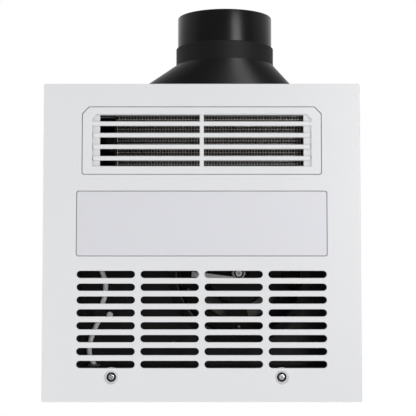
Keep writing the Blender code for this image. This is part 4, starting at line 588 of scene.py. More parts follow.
# Painted light: the net's colour is raised to near white to make up for the little light that reaches it
# inside the housing.
GUARD_WIRE = Moulding(
    "guard_wire", (0.92, 0.92, 0.93), Slot.GUARD,
    roughness=0.4, drift=0.06, grain=0.00002, grain_scale=900.0)
SHEATH = Moulding(
    "white_cable_sheath", (0.88, 0.88, 0.89), Slot.SHEATH, roughness=0.38, drift=0.05, grain_scale=900.0)
SLEEVE = BraidedSleeve("brown_braided_sleeve", (0.20, 0.12, 0.07), Slot.SLEEVE)
RUBBER = Moulding("grey_rubber", (0.07, 0.07, 0.07), roughness=0.8, drift=0.15, grain=0.00003)
CIRCUIT = LightBoard("light_board_mask", (0.78, 0.79, 0.78))


# Outlines in a plane

def arc(centre: Flat, radius: float, start: float, end: float, steps: int) -> Outline:
    """Points of an arc, both ends included.

    Args:
        centre: Its centre.
        radius: Its radius.
        start: First angle.
        end: Last angle.
        steps: Number of chords.

    Returns:
        The points.
    """
    turns = [start + (end - start) * step / steps for step in range(steps + 1)]
    return [(centre[0] + radius * math.cos(turn), centre[1] + radius * math.sin(turn)) for turn in turns]


def circle(x: float, y: float, radius: float, steps: int) -> OutlineAt:
    """A circle that can be grown by an offset."""
    return lambda offset: arc((x, y), radius + offset, 0.0, math.tau, steps)[:-1]


def obround(x: float, y: float, length: float, height: float, steps: int = 8) -> OutlineAt:
    """A slot with round ends, lying along X, that can be grown by an offset.

    Args:
        x: Middle of the slot, across.
        y: Middle of the slot, up and down.
        length: Length over both ends.
        height: Height, and so twice the radius of an end.
        steps: Pieces of each round end.

    Returns:
        The outline at an offset.
    """
    reach = (length - height) / 2

    def at(offset: float) -> Outline:
        """Points at an offset.

        Args:
            offset: How far the outline has grown.

        Returns:
            The points, in order.
        """
        radius = height / 2 + offset
        right = arc((x + reach, y), radius, -QUARTER, QUARTER, steps)
        return right + arc((x - reach, y), radius, QUARTER, 3 * QUARTER, steps)

    return at


def rounded(low: Flat, high: Flat, radius: float, steps: int = 4) -> OutlineAt:
    """A rectangle with round corners that can be grown by an offset.

    Args:
        low: Lower corner.
        high: Upper corner.
        radius: Radius of the corners.
        steps: Pieces of each round corner.

    Returns:
        The outline at an offset.
    """

    def at(offset: float) -> Outline:
        """Points at an offset.

        Args:
            offset: How far the outline has grown.

        Returns:
            The points, in order.
        """
        turn = max(radius + offset, SMALLEST_ROUND)
        left, bottom = low[0] - offset + turn, low[1] - offset + turn
        right, top = high[0] + offset - turn, high[1] + offset - turn
        points: Outline = []
        for quarter, centre in enumerate(((right, top), (left, top), (left, bottom), (right, bottom))):
            start = quarter * QUARTER
            points += arc(centre, turn, start, start + QUARTER, steps)
        return points

    return at


def square(half: float, radius: float, steps: int = 4) -> OutlineAt:
    """A square with round corners about the middle."""
    return rounded((-half, -half), (half, half), radius, steps)


def chamfered(half: float, top: float, bottom: float, chamfer: float, foot: float) -> OutlineAt:
    """An outline with its corners cut off, large at the top and small at the bottom.

    Args:
        half: Half of its width.
        top: Y of the side with the large chamfers, the lower value.
        bottom: Y of the other side.
        chamfer: Size of the large chamfers.
        foot: Size of the small ones.

    Returns:
        The outline at an offset.
    """
    slide = 2.0 - math.sqrt(2.0)

    def at(offset: float) -> Outline:
        """Points at an offset.

        Args:
            offset: How far the outline has grown.

        Returns:
            The points, in order.
        """
        big, small = chamfer + offset * slide, foot + offset * slide
        x, high, low = half + offset, top - offset, bottom + offset
        return [
            (-x, low - small), (-x, high + big), (-x + big, high), (x - big, high),
            (x, high + big), (x, low - small), (x - small, low), (-x + small, low),
        ]

    return at


def smooth_route(points: Section, steps: int) -> list[Vector]:
    """Points of a smooth curve through a route's own points.

    Args:
        points: The route's own points.
        steps: Pieces of each stretch.

    Returns:
        The curve's points.
    """
    given = [Vector(point) for point in points]
    padded = [given[0] * 2 - given[1], *given, given[-1] * 2 - given[-2]]
    made: list[Vector] = []
    for first, second, third, fourth in zip(padded, padded[1:], padded[2:], padded[3:]):
        for step in range(steps):
            share = step / steps
            made.append((
                second * 2 + (third - first) * share
                + (first * 2 - second * 5 + third * 4 - fourth) * share ** 2
                + (second * 3 - first - third * 3 + fourth) * share ** 3) / 2)
    made.append(given[-1])
    return made


# Meshes

@dataclass
class Ring:
    """A closed ring of vertices and its edges."""

    verts: list[bmesh.types.BMVert]
    edges: list[bmesh.types.BMEdge]


class Skin:
    """A mesh that grows ring by ring from outlines."""

    def __init__(self) -> None:
        """Start an empty mesh."""
        self.bm = bmesh.new()

    def ring(self, places: Section) -> Ring:
        """Start a ring of points."""
        verts = [self.bm.verts.new(place) for place in places]
        return Ring(verts, [self.bm.edges.new(pair) for pair in zip(verts, verts[1:] + verts[:1])])

    def grow(self, ring: Ring, places: Section) -> Ring:
        """Extrude a ring and move the new one to its own points.

        Args:
            ring: The ring to extrude.
            places: Where the new ring's points go.

        Returns:
            The new ring.
        """
        made = bmesh.ops.extrude_edge_only(self.bm, edges=ring.edges)["geom"]
        fresh = {tuple(vert.co): vert for vert in made if isinstance(vert, bmesh.types.BMVert)}
        verts = [fresh[tuple(vert.co)] for vert in ring.verts]
        edges = [self.bm.edges.get(pair) for pair in zip(verts, verts[1:] + verts[:1])]
        for vert, place in zip(verts, places):
            vert.co = place
        return Ring(verts, edges)

    def start(self, outline: Outline, level: float) -> Ring:
        """Start a ring on an outline at a level."""
        return self.ring([(x, y, level) for x, y in outline])

    def level(self, ring: Ring, outline: Outline, level: float) -> Ring:
        """Grow a ring to an outline at a level."""
        return self.grow(ring, [(x, y, level) for x, y in outline])

    def climb(self, ring: Ring, outline: OutlineAt, steps: Sequence[Flat]) -> Ring:
        """Grow a ring along steps of (offset, level) of one outline.

        Args:
            ring: The ring to start from.
            outline: The outline that every new ring follows.
            steps: Offset and level of each new ring.

        Returns:
            The last ring.
        """
        for offset, level in steps:
            ring = self.level(ring, outline(offset), level)
        return ring

    def bridge(self, first: Ring, second: Ring) -> None:
        """Join two rings with a band of faces."""
        bmesh.ops.bridge_loops(self.bm, edges=first.edges + second.edges)

    def cap(self, *rings: Ring) -> None:
        """Close each ring with one face."""
        for ring in rings:
            bmesh.ops.contextual_create(self.bm, geom=ring.edges)

    def fill(self, *rings: Ring, normal: Point = DOWN) -> None:
        """Close the flat space between rings.

        The fill takes points closer than a 30,000th of a unit for one, and rows of points on one
        level confuse it, so it works on an enlarged copy of the rings, looked at a little askew.

        Args:
            rings: The rings round the space and round each hole in it.
            normal: The side that the new faces look to.
        """
        edges = [edge for ring in rings for edge in ring.edges]
        verts = [vert for ring in rings for vert in ring.verts]
        kept = [vert.co.copy() for vert in verts]
        for vert in verts:
            vert.co *= FILL_SCALE
        askew = Vector(normal) + Vector(FILL_SKEW)
        bmesh.ops.triangle_fill(self.bm, edges=edges, use_beauty=True, use_dissolve=False, normal=askew)
        for vert, place in zip(verts, kept):
            vert.co = place

    def lip(self, outline: OutlineAt, face: float, inward: float, side: float, radius: float,
            steps: int = 4) -> tuple[Ring, Ring]:
        """Round lip between a flat face at a level and a wall.

        Args:
            outline: The wall's outline at an offset.
            face: Level of the face.
            inward: 1 where the wall leads up from the face, -1 where it leads down.
            side: 1 for a hole's wall, -1 for an outer wall.
            radius: Radius of the lip.
            steps: Chords of the round.

        Returns:
            The ring on the face and the ring where the wall starts.
        """
        support = radius + min(radius, LIP_SUPPORT)
        first = self.start(outline(side * support), face)
        last = first
        for step in range(steps + 1):
            turn = QUARTER * step / steps
            offset = side * radius * (1.0 - math.sin(turn))
            last = self.level(last, outline(offset), face + inward * radius * (1.0 - math.cos(turn)))
        return first, last

    def slab(self, outline: OutlineAt, face: float, back: float, radius: float, steps: int = 4) -> None:
        """Closed flat piece with round edges on its face and small ones on its back.

        Args:
            outline: Its outline.
            face: Level of its face.
            back: Level of its back.
            radius: Rounding of the face's edge.
            steps: Pieces of that rounding.
        """
        inward = 1.0 if back > face else -1.0
        front, wall = self.lip(outline, face, inward, -1.0, radius, steps)
        rear, rear_wall = self.lip(outline, back, -inward, -1.0, min(radius, BACK_LIP), 2)
        self.bridge(wall, rear_wall)
        self.fill(front, normal=(0.0, 0.0, -inward))
        self.fill(rear, normal=(0.0, 0.0, inward))

    def box(self, low: Sequence[float], high: Sequence[float], radius: float) -> None:
        """Box with round edges.

        Args:
            low: Lower corner.
            high: Upper corner.
            radius: Rounding of the edges.
        """
        middle = (Vector(low) + Vector(high)) / 2
        size = Vector(high) - Vector(low)
        made = bmesh.ops.create_cube(self.bm, size=1.0)["verts"]
        self.move(Matrix.Translation(middle) @ Matrix.Diagonal((*size, 1.0)), made)
        edges = {edge for vert in made for edge in vert.link_edges}
        bmesh.ops.bevel(
            self.bm, geom=list(edges), offset=radius, offset_type="OFFSET", segments=2, profile=0.5,
            affect="EDGES", clamp_overlap=True, material=-1)

    def tube(self, route: Sequence[Vector], radius: float, sides: int) -> None:
        """Closed tube along a route, with along and around kept on its points.

        Args:
            route: Points of its centre line.
            radius: Its radius.
            sides: Sides of its section.
        """
        floats = self.bm.verts.layers.float
        along, around = (floats.get(name) or floats.new(name) for name in ("along", "around"))
        side = (route[1] - route[0]).orthogonal().normalized()
        turns = [math.tau * step / sides for step in range(sides)]
        run = 0.0
        start = ring = None
        for index, point in enumerate(route):
            before, after = route[max(index - 1, 0)], route[min(index + 1, len(route) - 1)]
            heading = (after - before).normalized()
            side = (side - heading * side.dot(heading)).normalized()
            other = heading.cross(side)
            places = [point + (side * math.cos(turn) + other * math.sin(turn)) * radius for turn in turns]
            if ring is None:
                start = ring = self.ring(places)
            else:
                run += (point - route[index - 1]).length
                ring = self.grow(ring, places)
            for step, vert in enumerate(ring.verts):
                vert[along] = run
                vert[around] = abs(2.0 * step / sides - 1.0)
        self.cap(start, ring)

    def turned(self, profile: Outline, place: Point, direction: Point = UP, steps: int = 48,
               closed: bool = True) -> None:
        """Spin a profile of (radius, height) points round a line.

        Args:
            profile: The points.
            place: A point that the line goes through, at height 0.
            direction: The line's direction.
            steps: Steps of the full turn.
            closed: Whether the profile is closed.
        """
        verts = [self.bm.verts.new((radius, 0.0, height)) for radius, height in profile]
        pairs = list(zip(verts, verts[1:]))
        if closed:
            pairs.append((verts[-1], verts[0]))
        edges = [self.bm.edges.new(pair) for pair in pairs]
        before = set(self.bm.verts) - set(verts)
        bmesh.ops.spin(
            self.bm, geom=verts + edges, cent=(0.0, 0.0, 0.0), axis=UP, angle=math.tau, steps=steps,
            use_merge=True)
        bmesh.ops.remove_doubles(self.bm, verts=self.since(before), dist=MERGE_DISTANCE)
        self.stand(place, direction, before)

    def since(self, before: set) -> list[bmesh.types.BMVert]:
        """Vertices that an earlier set of them doesn't hold."""
        return [vert for vert in self.bm.verts if vert not in before]

    def stand(self, place: Point, direction: Point, before: set) -> None:
        """Stand what was made upright at the origin since then on a place, looking along a direction."""
        turn = Vector(direction).to_track_quat("Z", "Y").to_matrix().to_4x4()
        self.move(Matrix.Translation(place) @ turn, self.since(before))

    def move(self, matrix: Matrix, verts: Sequence[bmesh.types.BMVert]) -> None:
        """Transform vertices."""
        bmesh.ops.transform(self.bm, matrix=matrix, verts=verts)

    def piece(self, name: str, finish: Finish, body: Body, *nodes: str, sharp: float = 40.0) -> None:
        """Finish the mesh as a piece of the model.

        Args:
            name: The piece's name.
            finish: Its finish.
            body: The body it rides on.
            nodes: The CAD nodes it stands for.
            sharp: Angle in degrees above which edges stay sharp.
        """
        bmesh.ops.recalc_face_normals(self.bm, faces=self.bm.faces)
        if self.bm.calc_volume(signed=True) < 0.0:
            bmesh.ops.reverse_faces(self.bm, faces=self.bm.faces)
        obj = self.linked(name, finish)
        obj.data.shade_smooth()
        obj.data.set_sharp_from_angle(angle=math.radians(sharp))
        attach(obj, body.value)
        if nodes:
            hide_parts(*nodes)
        LOG.info("%s: %d faces, stands for %s", name, len(obj.data.polygons), ", ".join(nodes) or "nothing")

    def linked(self, name: str, finish: Finish) -> bpy.types.Object:
        """The mesh as an object of the scene, in its finish.

        Args:
            name: Name of the mesh and of the object.
            finish: Its finish.

        Returns:
            The object.
        """
        mesh = bpy.data.meshes.new(name)
        self.bm.to_mesh(mesh)
        self.bm.free()
        mesh.materials.append(finish.material())
        obj = bpy.data.objects.new(name, mesh)
        bpy.context.scene.collection.objects.link(obj)
        return obj


# Front panel and what it carries

@dataclass
class FrontPanel:
    """White moulded panel with its slots, openings, screw wells and hooks."""

    half: float = 0.150
    wall: float = 0.0025
    corner: float = 0.0015
    edge: float = 0.0009
    small_edge: float = 0.0003
    slot_length: float = 0.0549
    slot_height: float = 0.0068
    slot_lip: float = 0.0006
    groove_lip: float = 0.0002
    pitch: Flat = (0.0601, 0.01202)
    first_slot: Flat = (-0.09015, 0.0308)
    counts: tuple[int, int] = (4, 8)
    light_low: Flat = (-0.1185, -0.04815)
    light_high: Flat = (0.1185, 0.01385)
    light_corner: float = 0.0023
    louvre: tuple[float, ...] = (0.1136, -0.1283, -0.0632, 0.0067, 0.0014)
    well_lip: float = 0.0005
    well_radius: float = 0.0064
    well_floor: float = -0.0120
    pocket_radius: float = 0.0045
    pocket_floor: float = -0.0050
    seat_radius: float = 0.0033
    seat: float = -0.0093
    way_radius: float = 0.0025
    boss_radius: float = 0.0088
    boss_top: float = -0.0013
    hinge: Flat = (-0.1432, -0.0055)
    pin_radius: float = 0.0019
    hook_radius: float = 0.0034
    hook_x: float = 0.109
    half_hook: float = 0.006
    half_web: float = 0.45
    relief_y: float = -0.1415
    relief_step: float = 0.0001
    clip_x: float = 0.090
    half_clip: float = 0.006
    clips_y: tuple[Flat, Flat] = ((-0.05335, -0.05175), (0.01745, 0.01905))
    clip_height: float = 0.0064

    @property
    def back(self) -> float:
        """Level of the panel's inside."""
        return PANEL_FACE + self.wall

    def _holes(self, skin: Skin) -> tuple[list[Ring], list[Ring]]:
        """Slots and openings.

        Args:
            skin: The panel's skin.

        Returns:
            Their rings on the face and on the back.
        """
        (left, low), (across, up) = self.first_slot, self.pitch
        places = [
            (left + column * across, low + row * up)
            for row in range(self.counts[1]) for column in range(self.counts[0])]
        outlines = [(obround(*place, self.slot_length, self.slot_height), self.slot_lip) for place in places]
        outlines.append((rounded(self.light_low, self.light_high, self.light_corner), self.groove_lip))
        outlines.append((chamfered(*self.louvre), self.groove_lip))
        fronts, backs = [], []
        for outline, radius in outlines:
            front, wall = skin.lip(outline, PANEL_FACE, 1.0, 1.0, radius)
            rear, rear_wall = skin.lip(outline, self.back, -1.0, 1.0, BACK_LIP, 2)
            skin.bridge(wall, rear_wall)
            fronts.append(front)
            backs.append(rear)
        return fronts, backs

    def _wells(self, skin: Skin) -> tuple[list[Ring], list[Ring]]:
        """Screw wells and the bosses behind them.

        Args:
            skin: The panel's skin.

        Returns:
            Their rings on the face and on the back.
        """
        fronts, backs = [], []
        floor, shelf, seat, top = self.well_floor, self.pocket_floor, self.seat, self.boss_top
        small, back = self.small_edge, self.back
        radii = (self.well_radius, self.pocket_radius, self.seat_radius, self.way_radius, self.boss_radius)
        for x in PANEL_SCREWS_X:
            well, pocket, hole, way, boss = (circle(x, PANEL_SCREWS_Y, radius, 40) for radius in radii)
            front, ring = skin.lip(well, PANEL_FACE, 1.0, 1.0, self.well_lip)
            ring = skin.climb(ring, well, ((0.0, floor - 0.0004), (-0.0004, floor)))
            ring = skin.climb(ring, pocket, ((0.0002, floor), (0.0, floor + 0.0002), (0.0, shelf)))
            ring = skin.climb(ring, hole, ((0.0, shelf), (0.0, seat)))
            ring = skin.climb(ring, way, ((0.0, seat), (0.0, top)))
            ring = skin.climb(ring, boss, (
                (-small, top), (0.0, top - small), (0.0, back + 0.0004), (0.0004, back), (0.0009, back)))
            fronts.append(front)
            backs.append(ring)
        return fronts, backs

    def _rim(self, skin: Skin) -> tuple[Ring, Ring]:
        """Outer wall of the panel.

        Args:
            skin: The panel's skin.

        Returns:
            Its rings on the face and on the back.
        """
        plain = square(self.half, self.corner)

        def outline(offset: float) -> Outline:
            """The panel's outline with extra points where the hinge side's relief starts.

            Args:
                offset: How far the outline has grown.

            Returns:
                The points, in order.
            """
            points = plain(offset)
            side, half = self.half + offset, len(points) // 2
            low, high = self.relief_y - self.relief_step, self.relief_y + self.relief_step
            return [*points[:half], (-side, high), (-side, low), *points[half:], (side, low), (side, high)]

        def top(offset: float, drop: float) -> Section:
            """Points along the rim's top, lower on the hinge side."""
            low = self.hinge[1]
            return [(x, y, (low if y < self.relief_y else 0.0) - drop) for x, y in outline(offset)]

        front, ring = skin.lip(outline, PANEL_FACE, 1.0, -1.0, self.edge)
        small = self.small_edge
        for offset, drop in ((0.0, small), (-small, 0.0), (small - self.wall, 0.0), (-self.wall, small)):
            ring = skin.grow(ring, top(offset, drop))
        fillet = 0.001
        steps = ((-self.wall, self.back + fillet), (-self.wall - fillet, self.back))
        return front, skin.climb(ring, outline, steps)

    def _hooks(self, skin: Skin) -> None:
        """Hooks over the hinge pins, and the clips of the light tray.

        Args:
            skin: The mesh that it adds to.
        """
        y, z = self.hinge
        mouth, half_web = math.asin(self.pin_radius / self.hook_radius), self.half_web
        outer = arc((y, z), self.hook_radius, mouth, 3 * QUARTER - half_web, 14)
        inner = arc((y, z), self.pin_radius, math.tau - 0.02, QUARTER, 12)
        lower = arc((y, z), self.hook_radius, 3 * QUARTER + half_web, math.tau - mouth, 4)
        foot = self.back - 0.0004
        tip = (y + 0.0030, z + self.pin_radius)
        outline = [*outer, (y - 0.0015, foot), (y + 0.0015, foot), *lower, *inner, tip]
        for x in (-self.hook_x, self.hook_x):
            verts = [skin.bm.verts.new((x - self.half_hook, *point)) for point in outline]
            face = bmesh.ops.contextual_create(skin.bm, geom=verts)["faces"][0]
            made = bmesh.ops.extrude_face_region(skin.bm, geom=[face])["geom"]
            moved = [item for item in made if isinstance(item, bmesh.types.BMVert)]
            bmesh.ops.translate(skin.bm, vec=(2 * self.half_hook, 0.0, 0.0), verts=moved)
        for x in (-self.clip_x, self.clip_x):
            for near, far in self.clips_y:
                low = (x - self.half_clip, near, foot)
                high = (x + self.half_clip, far, foot + self.clip_height)
                skin.box(low, high, self.small_edge)

    def build(self) -> None:
        """Make the panel."""
        skin = Skin()
        fronts, backs = self._holes(skin)
        well_fronts, well_backs = self._wells(skin)
        outer_front, outer_back = self._rim(skin)
        skin.fill(outer_front, *fronts, *well_fronts)
        skin.fill(outer_back, *backs, *well_backs, normal=UP)
        self._hooks(skin)
        skin.piece("front_panel_moulding", WHITE_MOULDING, Body.PANEL, "front_panel")


@dataclass
class LouvreInsert:
    """Fixed louvre with a recess, ledges, four bars and a middle bar."""

    depth: float = 0.0045
    frame: tuple[float, ...] = (0.1128, -0.1275, -0.0640, 0.0066, 0.0014)
    lip_width: float = 0.0030
    lip_low: float = -0.0132
    lip_high: float = -0.0117
    window_half: float = 0.1038
    window_chamfer: float = 0.0045
    way_half: float = 0.0966
    top: float = -0.1210
    bottom: float = -0.0712
    way_step: float = 0.0006
    ledge: float = -0.0130
    bar_height: float = 0.0042
    bar_length: float = 0.2060
    bar_end: float = 0.0012
    first_bar: float = -0.1120
    bar_pitch: float = 0.0110
    bars: int = 4
    bar_drop: float = 0.0003
    bar_edge: float = 0.0010
    middle_half: float = 0.0020
    middle_drop: float = 0.0006
    middle_edge: float = 0.0009
    foot: float = 0.0004

    def _frame(self, skin: Skin) -> None:
        """Outer frame, recess, ledges and the hidden lip behind the panel.

        Args:
            skin: The mesh that it adds to.
        """
        outer = chamfered(*self.frame)
        window = chamfered(self.window_half, self.top, self.bottom, self.window_chamfer, 0.0003)
        top, bottom = self.top + self.way_step, self.bottom - self.way_step
        way = rounded((-self.way_half, top), (self.way_half, bottom), 0.0003)
        back = PANEL_FACE + self.depth
        front, ring = skin.lip(outer, PANEL_FACE, 1.0, -1.0, 0.0003)
        rear = skin.climb(ring, outer, (
            (0.0, self.lip_low), (self.lip_width, self.lip_low), (self.lip_width, self.lip_high),
            (0.0, self.lip_high), (0.0, back)))
        opening, wall = skin.lip(window, PANEL_FACE, 1.0, 1.0, 0.0006)
        ledge_ring = skin.level(wall, window(0.0), self.ledge)
        way_ring, way_wall = skin.lip(way, self.ledge, 1.0, 1.0, 0.0002, 2)
        way_back = skin.level(way_wall, way(0.0), back)
        skin.fill(front, opening)
        skin.fill(ledge_ring, way_ring)
        skin.fill(rear, way_back, normal=UP)

    def _bars(self, skin: Skin) -> None:
        """Bars with round ends and the middle bar.

        Args:
            skin: The mesh that it adds to.
        """
        half, foot = self.bar_height / 2, self.ledge + self.foot
        for row in range(self.bars):
            y = self.first_bar + row * self.bar_pitch
            reach = self.bar_length / 2 if row else self.window_half + half
            shape = rounded((-reach, y - half), (reach, y + half), self.bar_end, 5)
            skin.slab(shape, PANEL_FACE + self.bar_drop, foot, self.bar_edge, 5)
        low, high = (-self.middle_half, self.top - self.foot), (self.middle_half, self.bottom + self.foot)
        skin.slab(rounded(low, high, 0.0002), PANEL_FACE + self.middle_drop, foot, self.middle_edge)

    def build(self) -> None:
        """Make the insert."""
        skin = Skin()
        self._frame(skin)
        self._bars(skin)
        skin.piece("louvre_moulding", WHITE_MOULDING, Body.PANEL, "louvre_insert")


@dataclass
class Light:
    """Frosted diffuser of the light."""

    low: Flat = (-0.1179, -0.04755)
    high: Flat = (0.1179, 0.01325)
    corner: float = 0.002
    face: float = -0.0158
    seat: float = -0.0132
    back: float = -0.0117
    rim: float = 0.003

    def build(self) -> None:
        """Make the diffuser."""
        skin = Skin()
        outline = rounded(self.low, self.high, self.corner)
        front, ring = skin.lip(outline, self.face, 1.0, -1.0, 0.0006)
        ring = skin.climb(ring, outline, ((0.0, self.seat), (self.rim, self.seat), (self.rim, self.back)))
        skin.fill(front)
        skin.fill(ring, normal=UP)
        skin.piece("light_lens", LENS, Body.PANEL, "light_diffuser")


@dataclass
class Screw:
    """A pan head screw with a cross recess."""

    seat: Point
    direction: Point
    reach: float
    radius: float = 0.0032
    height: float = 0.0020
    shank: float = 0.0016
    arm_share: float = 0.61
    thick_share: float = 0.16
    taper_share: float = 0.55
    floor_share: float = 0.22
    flat_share: float = 0.30
    crown_shares: tuple[Flat, ...] = ((0.14, 0.93), (0.04, 0.74), (0.0, 0.48), (0.0, 0.04), (0.03, 0.0))

    def add(self, skin: Skin, turn: float) -> None:
        """Add the screw to a skin, its recess turned about its own line.

        Args:
            skin: The mesh that it adds to.
            turn: Turn of the cross recess.
        """
        before = set(skin.bm.verts)
        radius, height = self.radius, self.height
        arm, thick, taper = radius * self.arm_share, radius * self.thick_share, self.taper_share
        quarter = [(arm, -thick), (arm, thick), (thick, thick)]
        spins = [Matrix.Rotation(turn + QUARTER * part, 2) for part in range(4)]
        cross = [tuple(spin @ Vector(point)) for spin in spins for point in quarter]
        top = skin.start(cross, height)
        floor = skin.level(top, [(x * taper, y * taper) for x, y in cross], height * self.floor_share)
        crown, body = circle(0.0, 0.0, radius, 24), circle(0.0, 0.0, self.shank, 24)
        first = skin.start(crown(-radius * self.flat_share), height)
        ring = skin.climb(first, crown, [
            (-radius * inset, height * level) for inset, level in self.crown_shares])
        ring = skin.climb(ring, body, ((0.0, 0.0), (0.0, -self.reach)))
        skin.fill(top, first, normal=UP)
        skin.fill(floor, normal=UP)
        skin.fill(ring)
        skin.stand(self.seat, self.direction, before)


@dataclass
class Fasteners:
    """All the screws, in sets that ride on one body."""

    head: float = 0.0020
    panel_seat: float = -0.0096
    panel_reach: float = 0.0136
    panel_turns: Flat = (0.35, 1.05)
    first_turn: float = 0.4
    turn_step: float = 0.9
    sets: tuple[tuple[str, Point, Finish], ...] = (
        ("collar", TO_DUCT, SCREW_STEEL), ("motor", UP, SCREW_STEEL), ("casing", DOWN, RIVET_STEEL),
        # The clamp screws take the near-white finish: painted highlight.
        ("plate", DOWN, SCREW_STEEL), ("clamp", DOWN, GLINT_WHITE_STEEL), ("cover", FROM_DUCT, SCREW_STEEL))
    # Profile of the black ring in each screw well: painted shade round the screw head.
    sleeve: tuple[Flat, ...] = (
        (0.0034, -0.0094), (0.0034, -0.0112), (0.0036, -0.0114), (0.0042, -0.0114), (0.0044, -0.0112),
        (0.0044, -0.0051), (0.0038, -0.0051), (0.0038, -0.0094))

    def build(self) -> None:
        """Make the sets of screws."""
        for side, x, turn in zip(("left", "right"), PANEL_SCREWS_X, self.panel_turns):
            skin = Skin()
            seat = (x, PANEL_SCREWS_Y, self.panel_seat)
            screw = Screw(seat, DOWN, self.panel_reach, radius=0.0031, height=0.0023, shank=0.0021)
            screw.add(skin, turn)
            skin.piece(f"panel_screw_{side}_head", SCREW_STEEL, Body.PANEL, f"panel_screw_{side}")
            # Black ring in the well: painted shade round the screw head.
            skin = Skin()
            skin.turned(self.sleeve, (x, PANEL_SCREWS_Y, 0.0), steps=40)
            skin.piece(f"screw_well_shade_{side}", SHADE_BLACK, Body.PANEL)
        for prefix, direction, finish in self.sets:
            names = sorted(name for name in frame["nodes"] if name.startswith(f"{prefix}_screw"))
            skin = Skin()
            for index, name in enumerate(names):
                low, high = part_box(name)
                axis = Vector(direction)
                length = abs((high - low).dot(axis))
                seat = (low + high) / 2 + axis * (length / 2 - self.head)
                turn = self.first_turn + index * self.turn_step
                Screw(tuple(seat), direction, length - self.head).add(skin, turn)
            skin.piece(f"{prefix}_screw_set", finish, Body.BASE, *names)


# Exhaust collar

@dataclass
class DuctCollar:
    """Black collar lofted from a rectangle to a round spigot."""

    left: float = -0.0726
    right: float = 0.1022
    half_height: float = 0.051
    corner: float = 0.006
    wall: float = 0.002
    rim: float = 0.006
    seat: float = -0.1203
    flange: float = -0.1223
    flare: float = -0.1580
    ring: float = -0.1875
    spigot: float = -0.2056
    mouth: float = -0.2380
    ring_radius: float = 0.05075
    spigot_radius: float = 0.049
    seat_radius: float = 0.037
    seat_depth: float = 0.0055
    points: int = 128
    base_steps: int = 10
    flare_steps: int = 14

    def _turns(self) -> list[float]:
        """Angles of a section's points."""
        return [math.tau * (index + 0.5) / self.points for index in range(self.points)]

    def _section(self, y: float, low: Flat, high: Flat, corner: float) -> Section:
        """A rectangle with round corners, or a circle where its corners meet.

        Args:
            y: Its place along the duct.
            low: Its left and lower sides.
            high: Its right and upper sides.
            corner: Radius of its corners.

        Returns:
            The points.
        """
        made = []
        for turn in self._turns():
            across = high[0] - corner if math.cos(turn) > 0 else low[0] + corner
            up = high[1] - corner if math.sin(turn) > 0 else low[1] + corner
            made.append((across + corner * math.cos(turn), y, up + corner * math.sin(turn)))
        return made

    def round(self, y: float, radius: float) -> Section:
        """Round section on the duct's axis."""
        low, high = (DUCT_X - radius, DUCT_Z - radius), (DUCT_X + radius, DUCT_Z + radius)
        return self._section(y, low, high, radius)

    def base(self, y: float, margin: float, corner: float) -> Section:
        """Section of the base, grown by a margin.

        Args:
            y: Place along the duct.
            margin: How far it has grown past the base.
            corner: Radius of its corners.

        Returns:
            The section's points.
        """
        half = self.half_height + margin
        low, high = (self.left - margin, DUCT_Z - half), (self.right + margin, DUCT_Z + half)
        return self._section(y, low, high, corner)

    def shoulder(self, y: float, margin: float) -> Section:
        """Oval section where the flare starts, as wide and high as the base, grown by a margin.

        Args:
            y: Place along the duct.
            margin: How far it has grown past the base.

        Returns:
            The section's points.
        """
        middle, across = (self.left + self.right) / 2, (self.right - self.left) / 2 + margin
        up = self.half_height + margin
        return [
            (middle + across * math.cos(turn), y, DUCT_Z + up * math.sin(turn)) for turn in self._turns()]

    def _between(self, first: Section, last: Section, steps: int) -> list[Section]:
        """Sections on straight lines from one section to another, without these two.

        Args:
            first: Section that it starts from.
            last: Section that it ends on.
            steps: Stretches that the way between the two is cut into.

        Returns:
            The sections between them.
        """
        return [
            [tuple(Vector(start).lerp(Vector(end), step / steps)) for start, end in zip(first, last)]
            for step in range(1, steps)]

    def build(self) -> None:
        """Make the collar."""
        skin = Skin()
        bore = self.spigot_radius - self.wall
        seat, flange, ring, spigot, mouth = self.seat, self.flange, self.ring, self.spigot, self.mouth
        rings = [self.base(y, margin, self.corner) for y, margin in (
            (seat, self.rim - 0.0003), (seat - 0.0003, self.rim), (flange + 0.0003, self.rim),
            (flange, self.rim - 0.0003), (flange, 0.0008), (flange - 0.0008, 0.0))]
        shoulder = self.shoulder(self.flare + 0.0008, 0.0)
        rings += self._between(rings[-1], shoulder, self.base_steps)
        rings += [shoulder, self.shoulder(self.flare, -0.0005)]
        rings += self._between(rings[-1], self.round(ring, self.ring_radius), self.flare_steps)
        rings += [self.round(y, radius) for y, radius in (
            (ring, self.ring_radius), (ring - 0.0006, self.ring_radius),
            (spigot + 0.0005, self.ring_radius),
            (spigot, self.ring_radius - 0.0005), (spigot, self.spigot_radius + 0.0004),
            (spigot - 0.0004, self.spigot_radius), (mouth + 0.0006, self.spigot_radius),
            (mouth + 0.0002, self.spigot_radius - 0.0002), (mouth, self.spigot_radius - 0.0006),
            (mouth, bore + 0.0004), (mouth + 0.0004, bore), (ring - self.seat_depth, bore),
            (ring - self.seat_depth, self.seat_radius), (ring, self.seat_radius), (ring, bore))]
        rings.append(self.shoulder(self.flare, -self.wall))
        rings.append(self.base(seat, -self.wall, self.corner - self.wall / 2))
        first = last = skin.ring(rings[0])
        for places in rings[1:]:
            last = skin.grow(last, places)
        skin.bridge(last, first)
        skin.piece("duct_collar_moulding", COLLAR_BLACK, Body.BASE, "duct_collar", sharp=32.0)


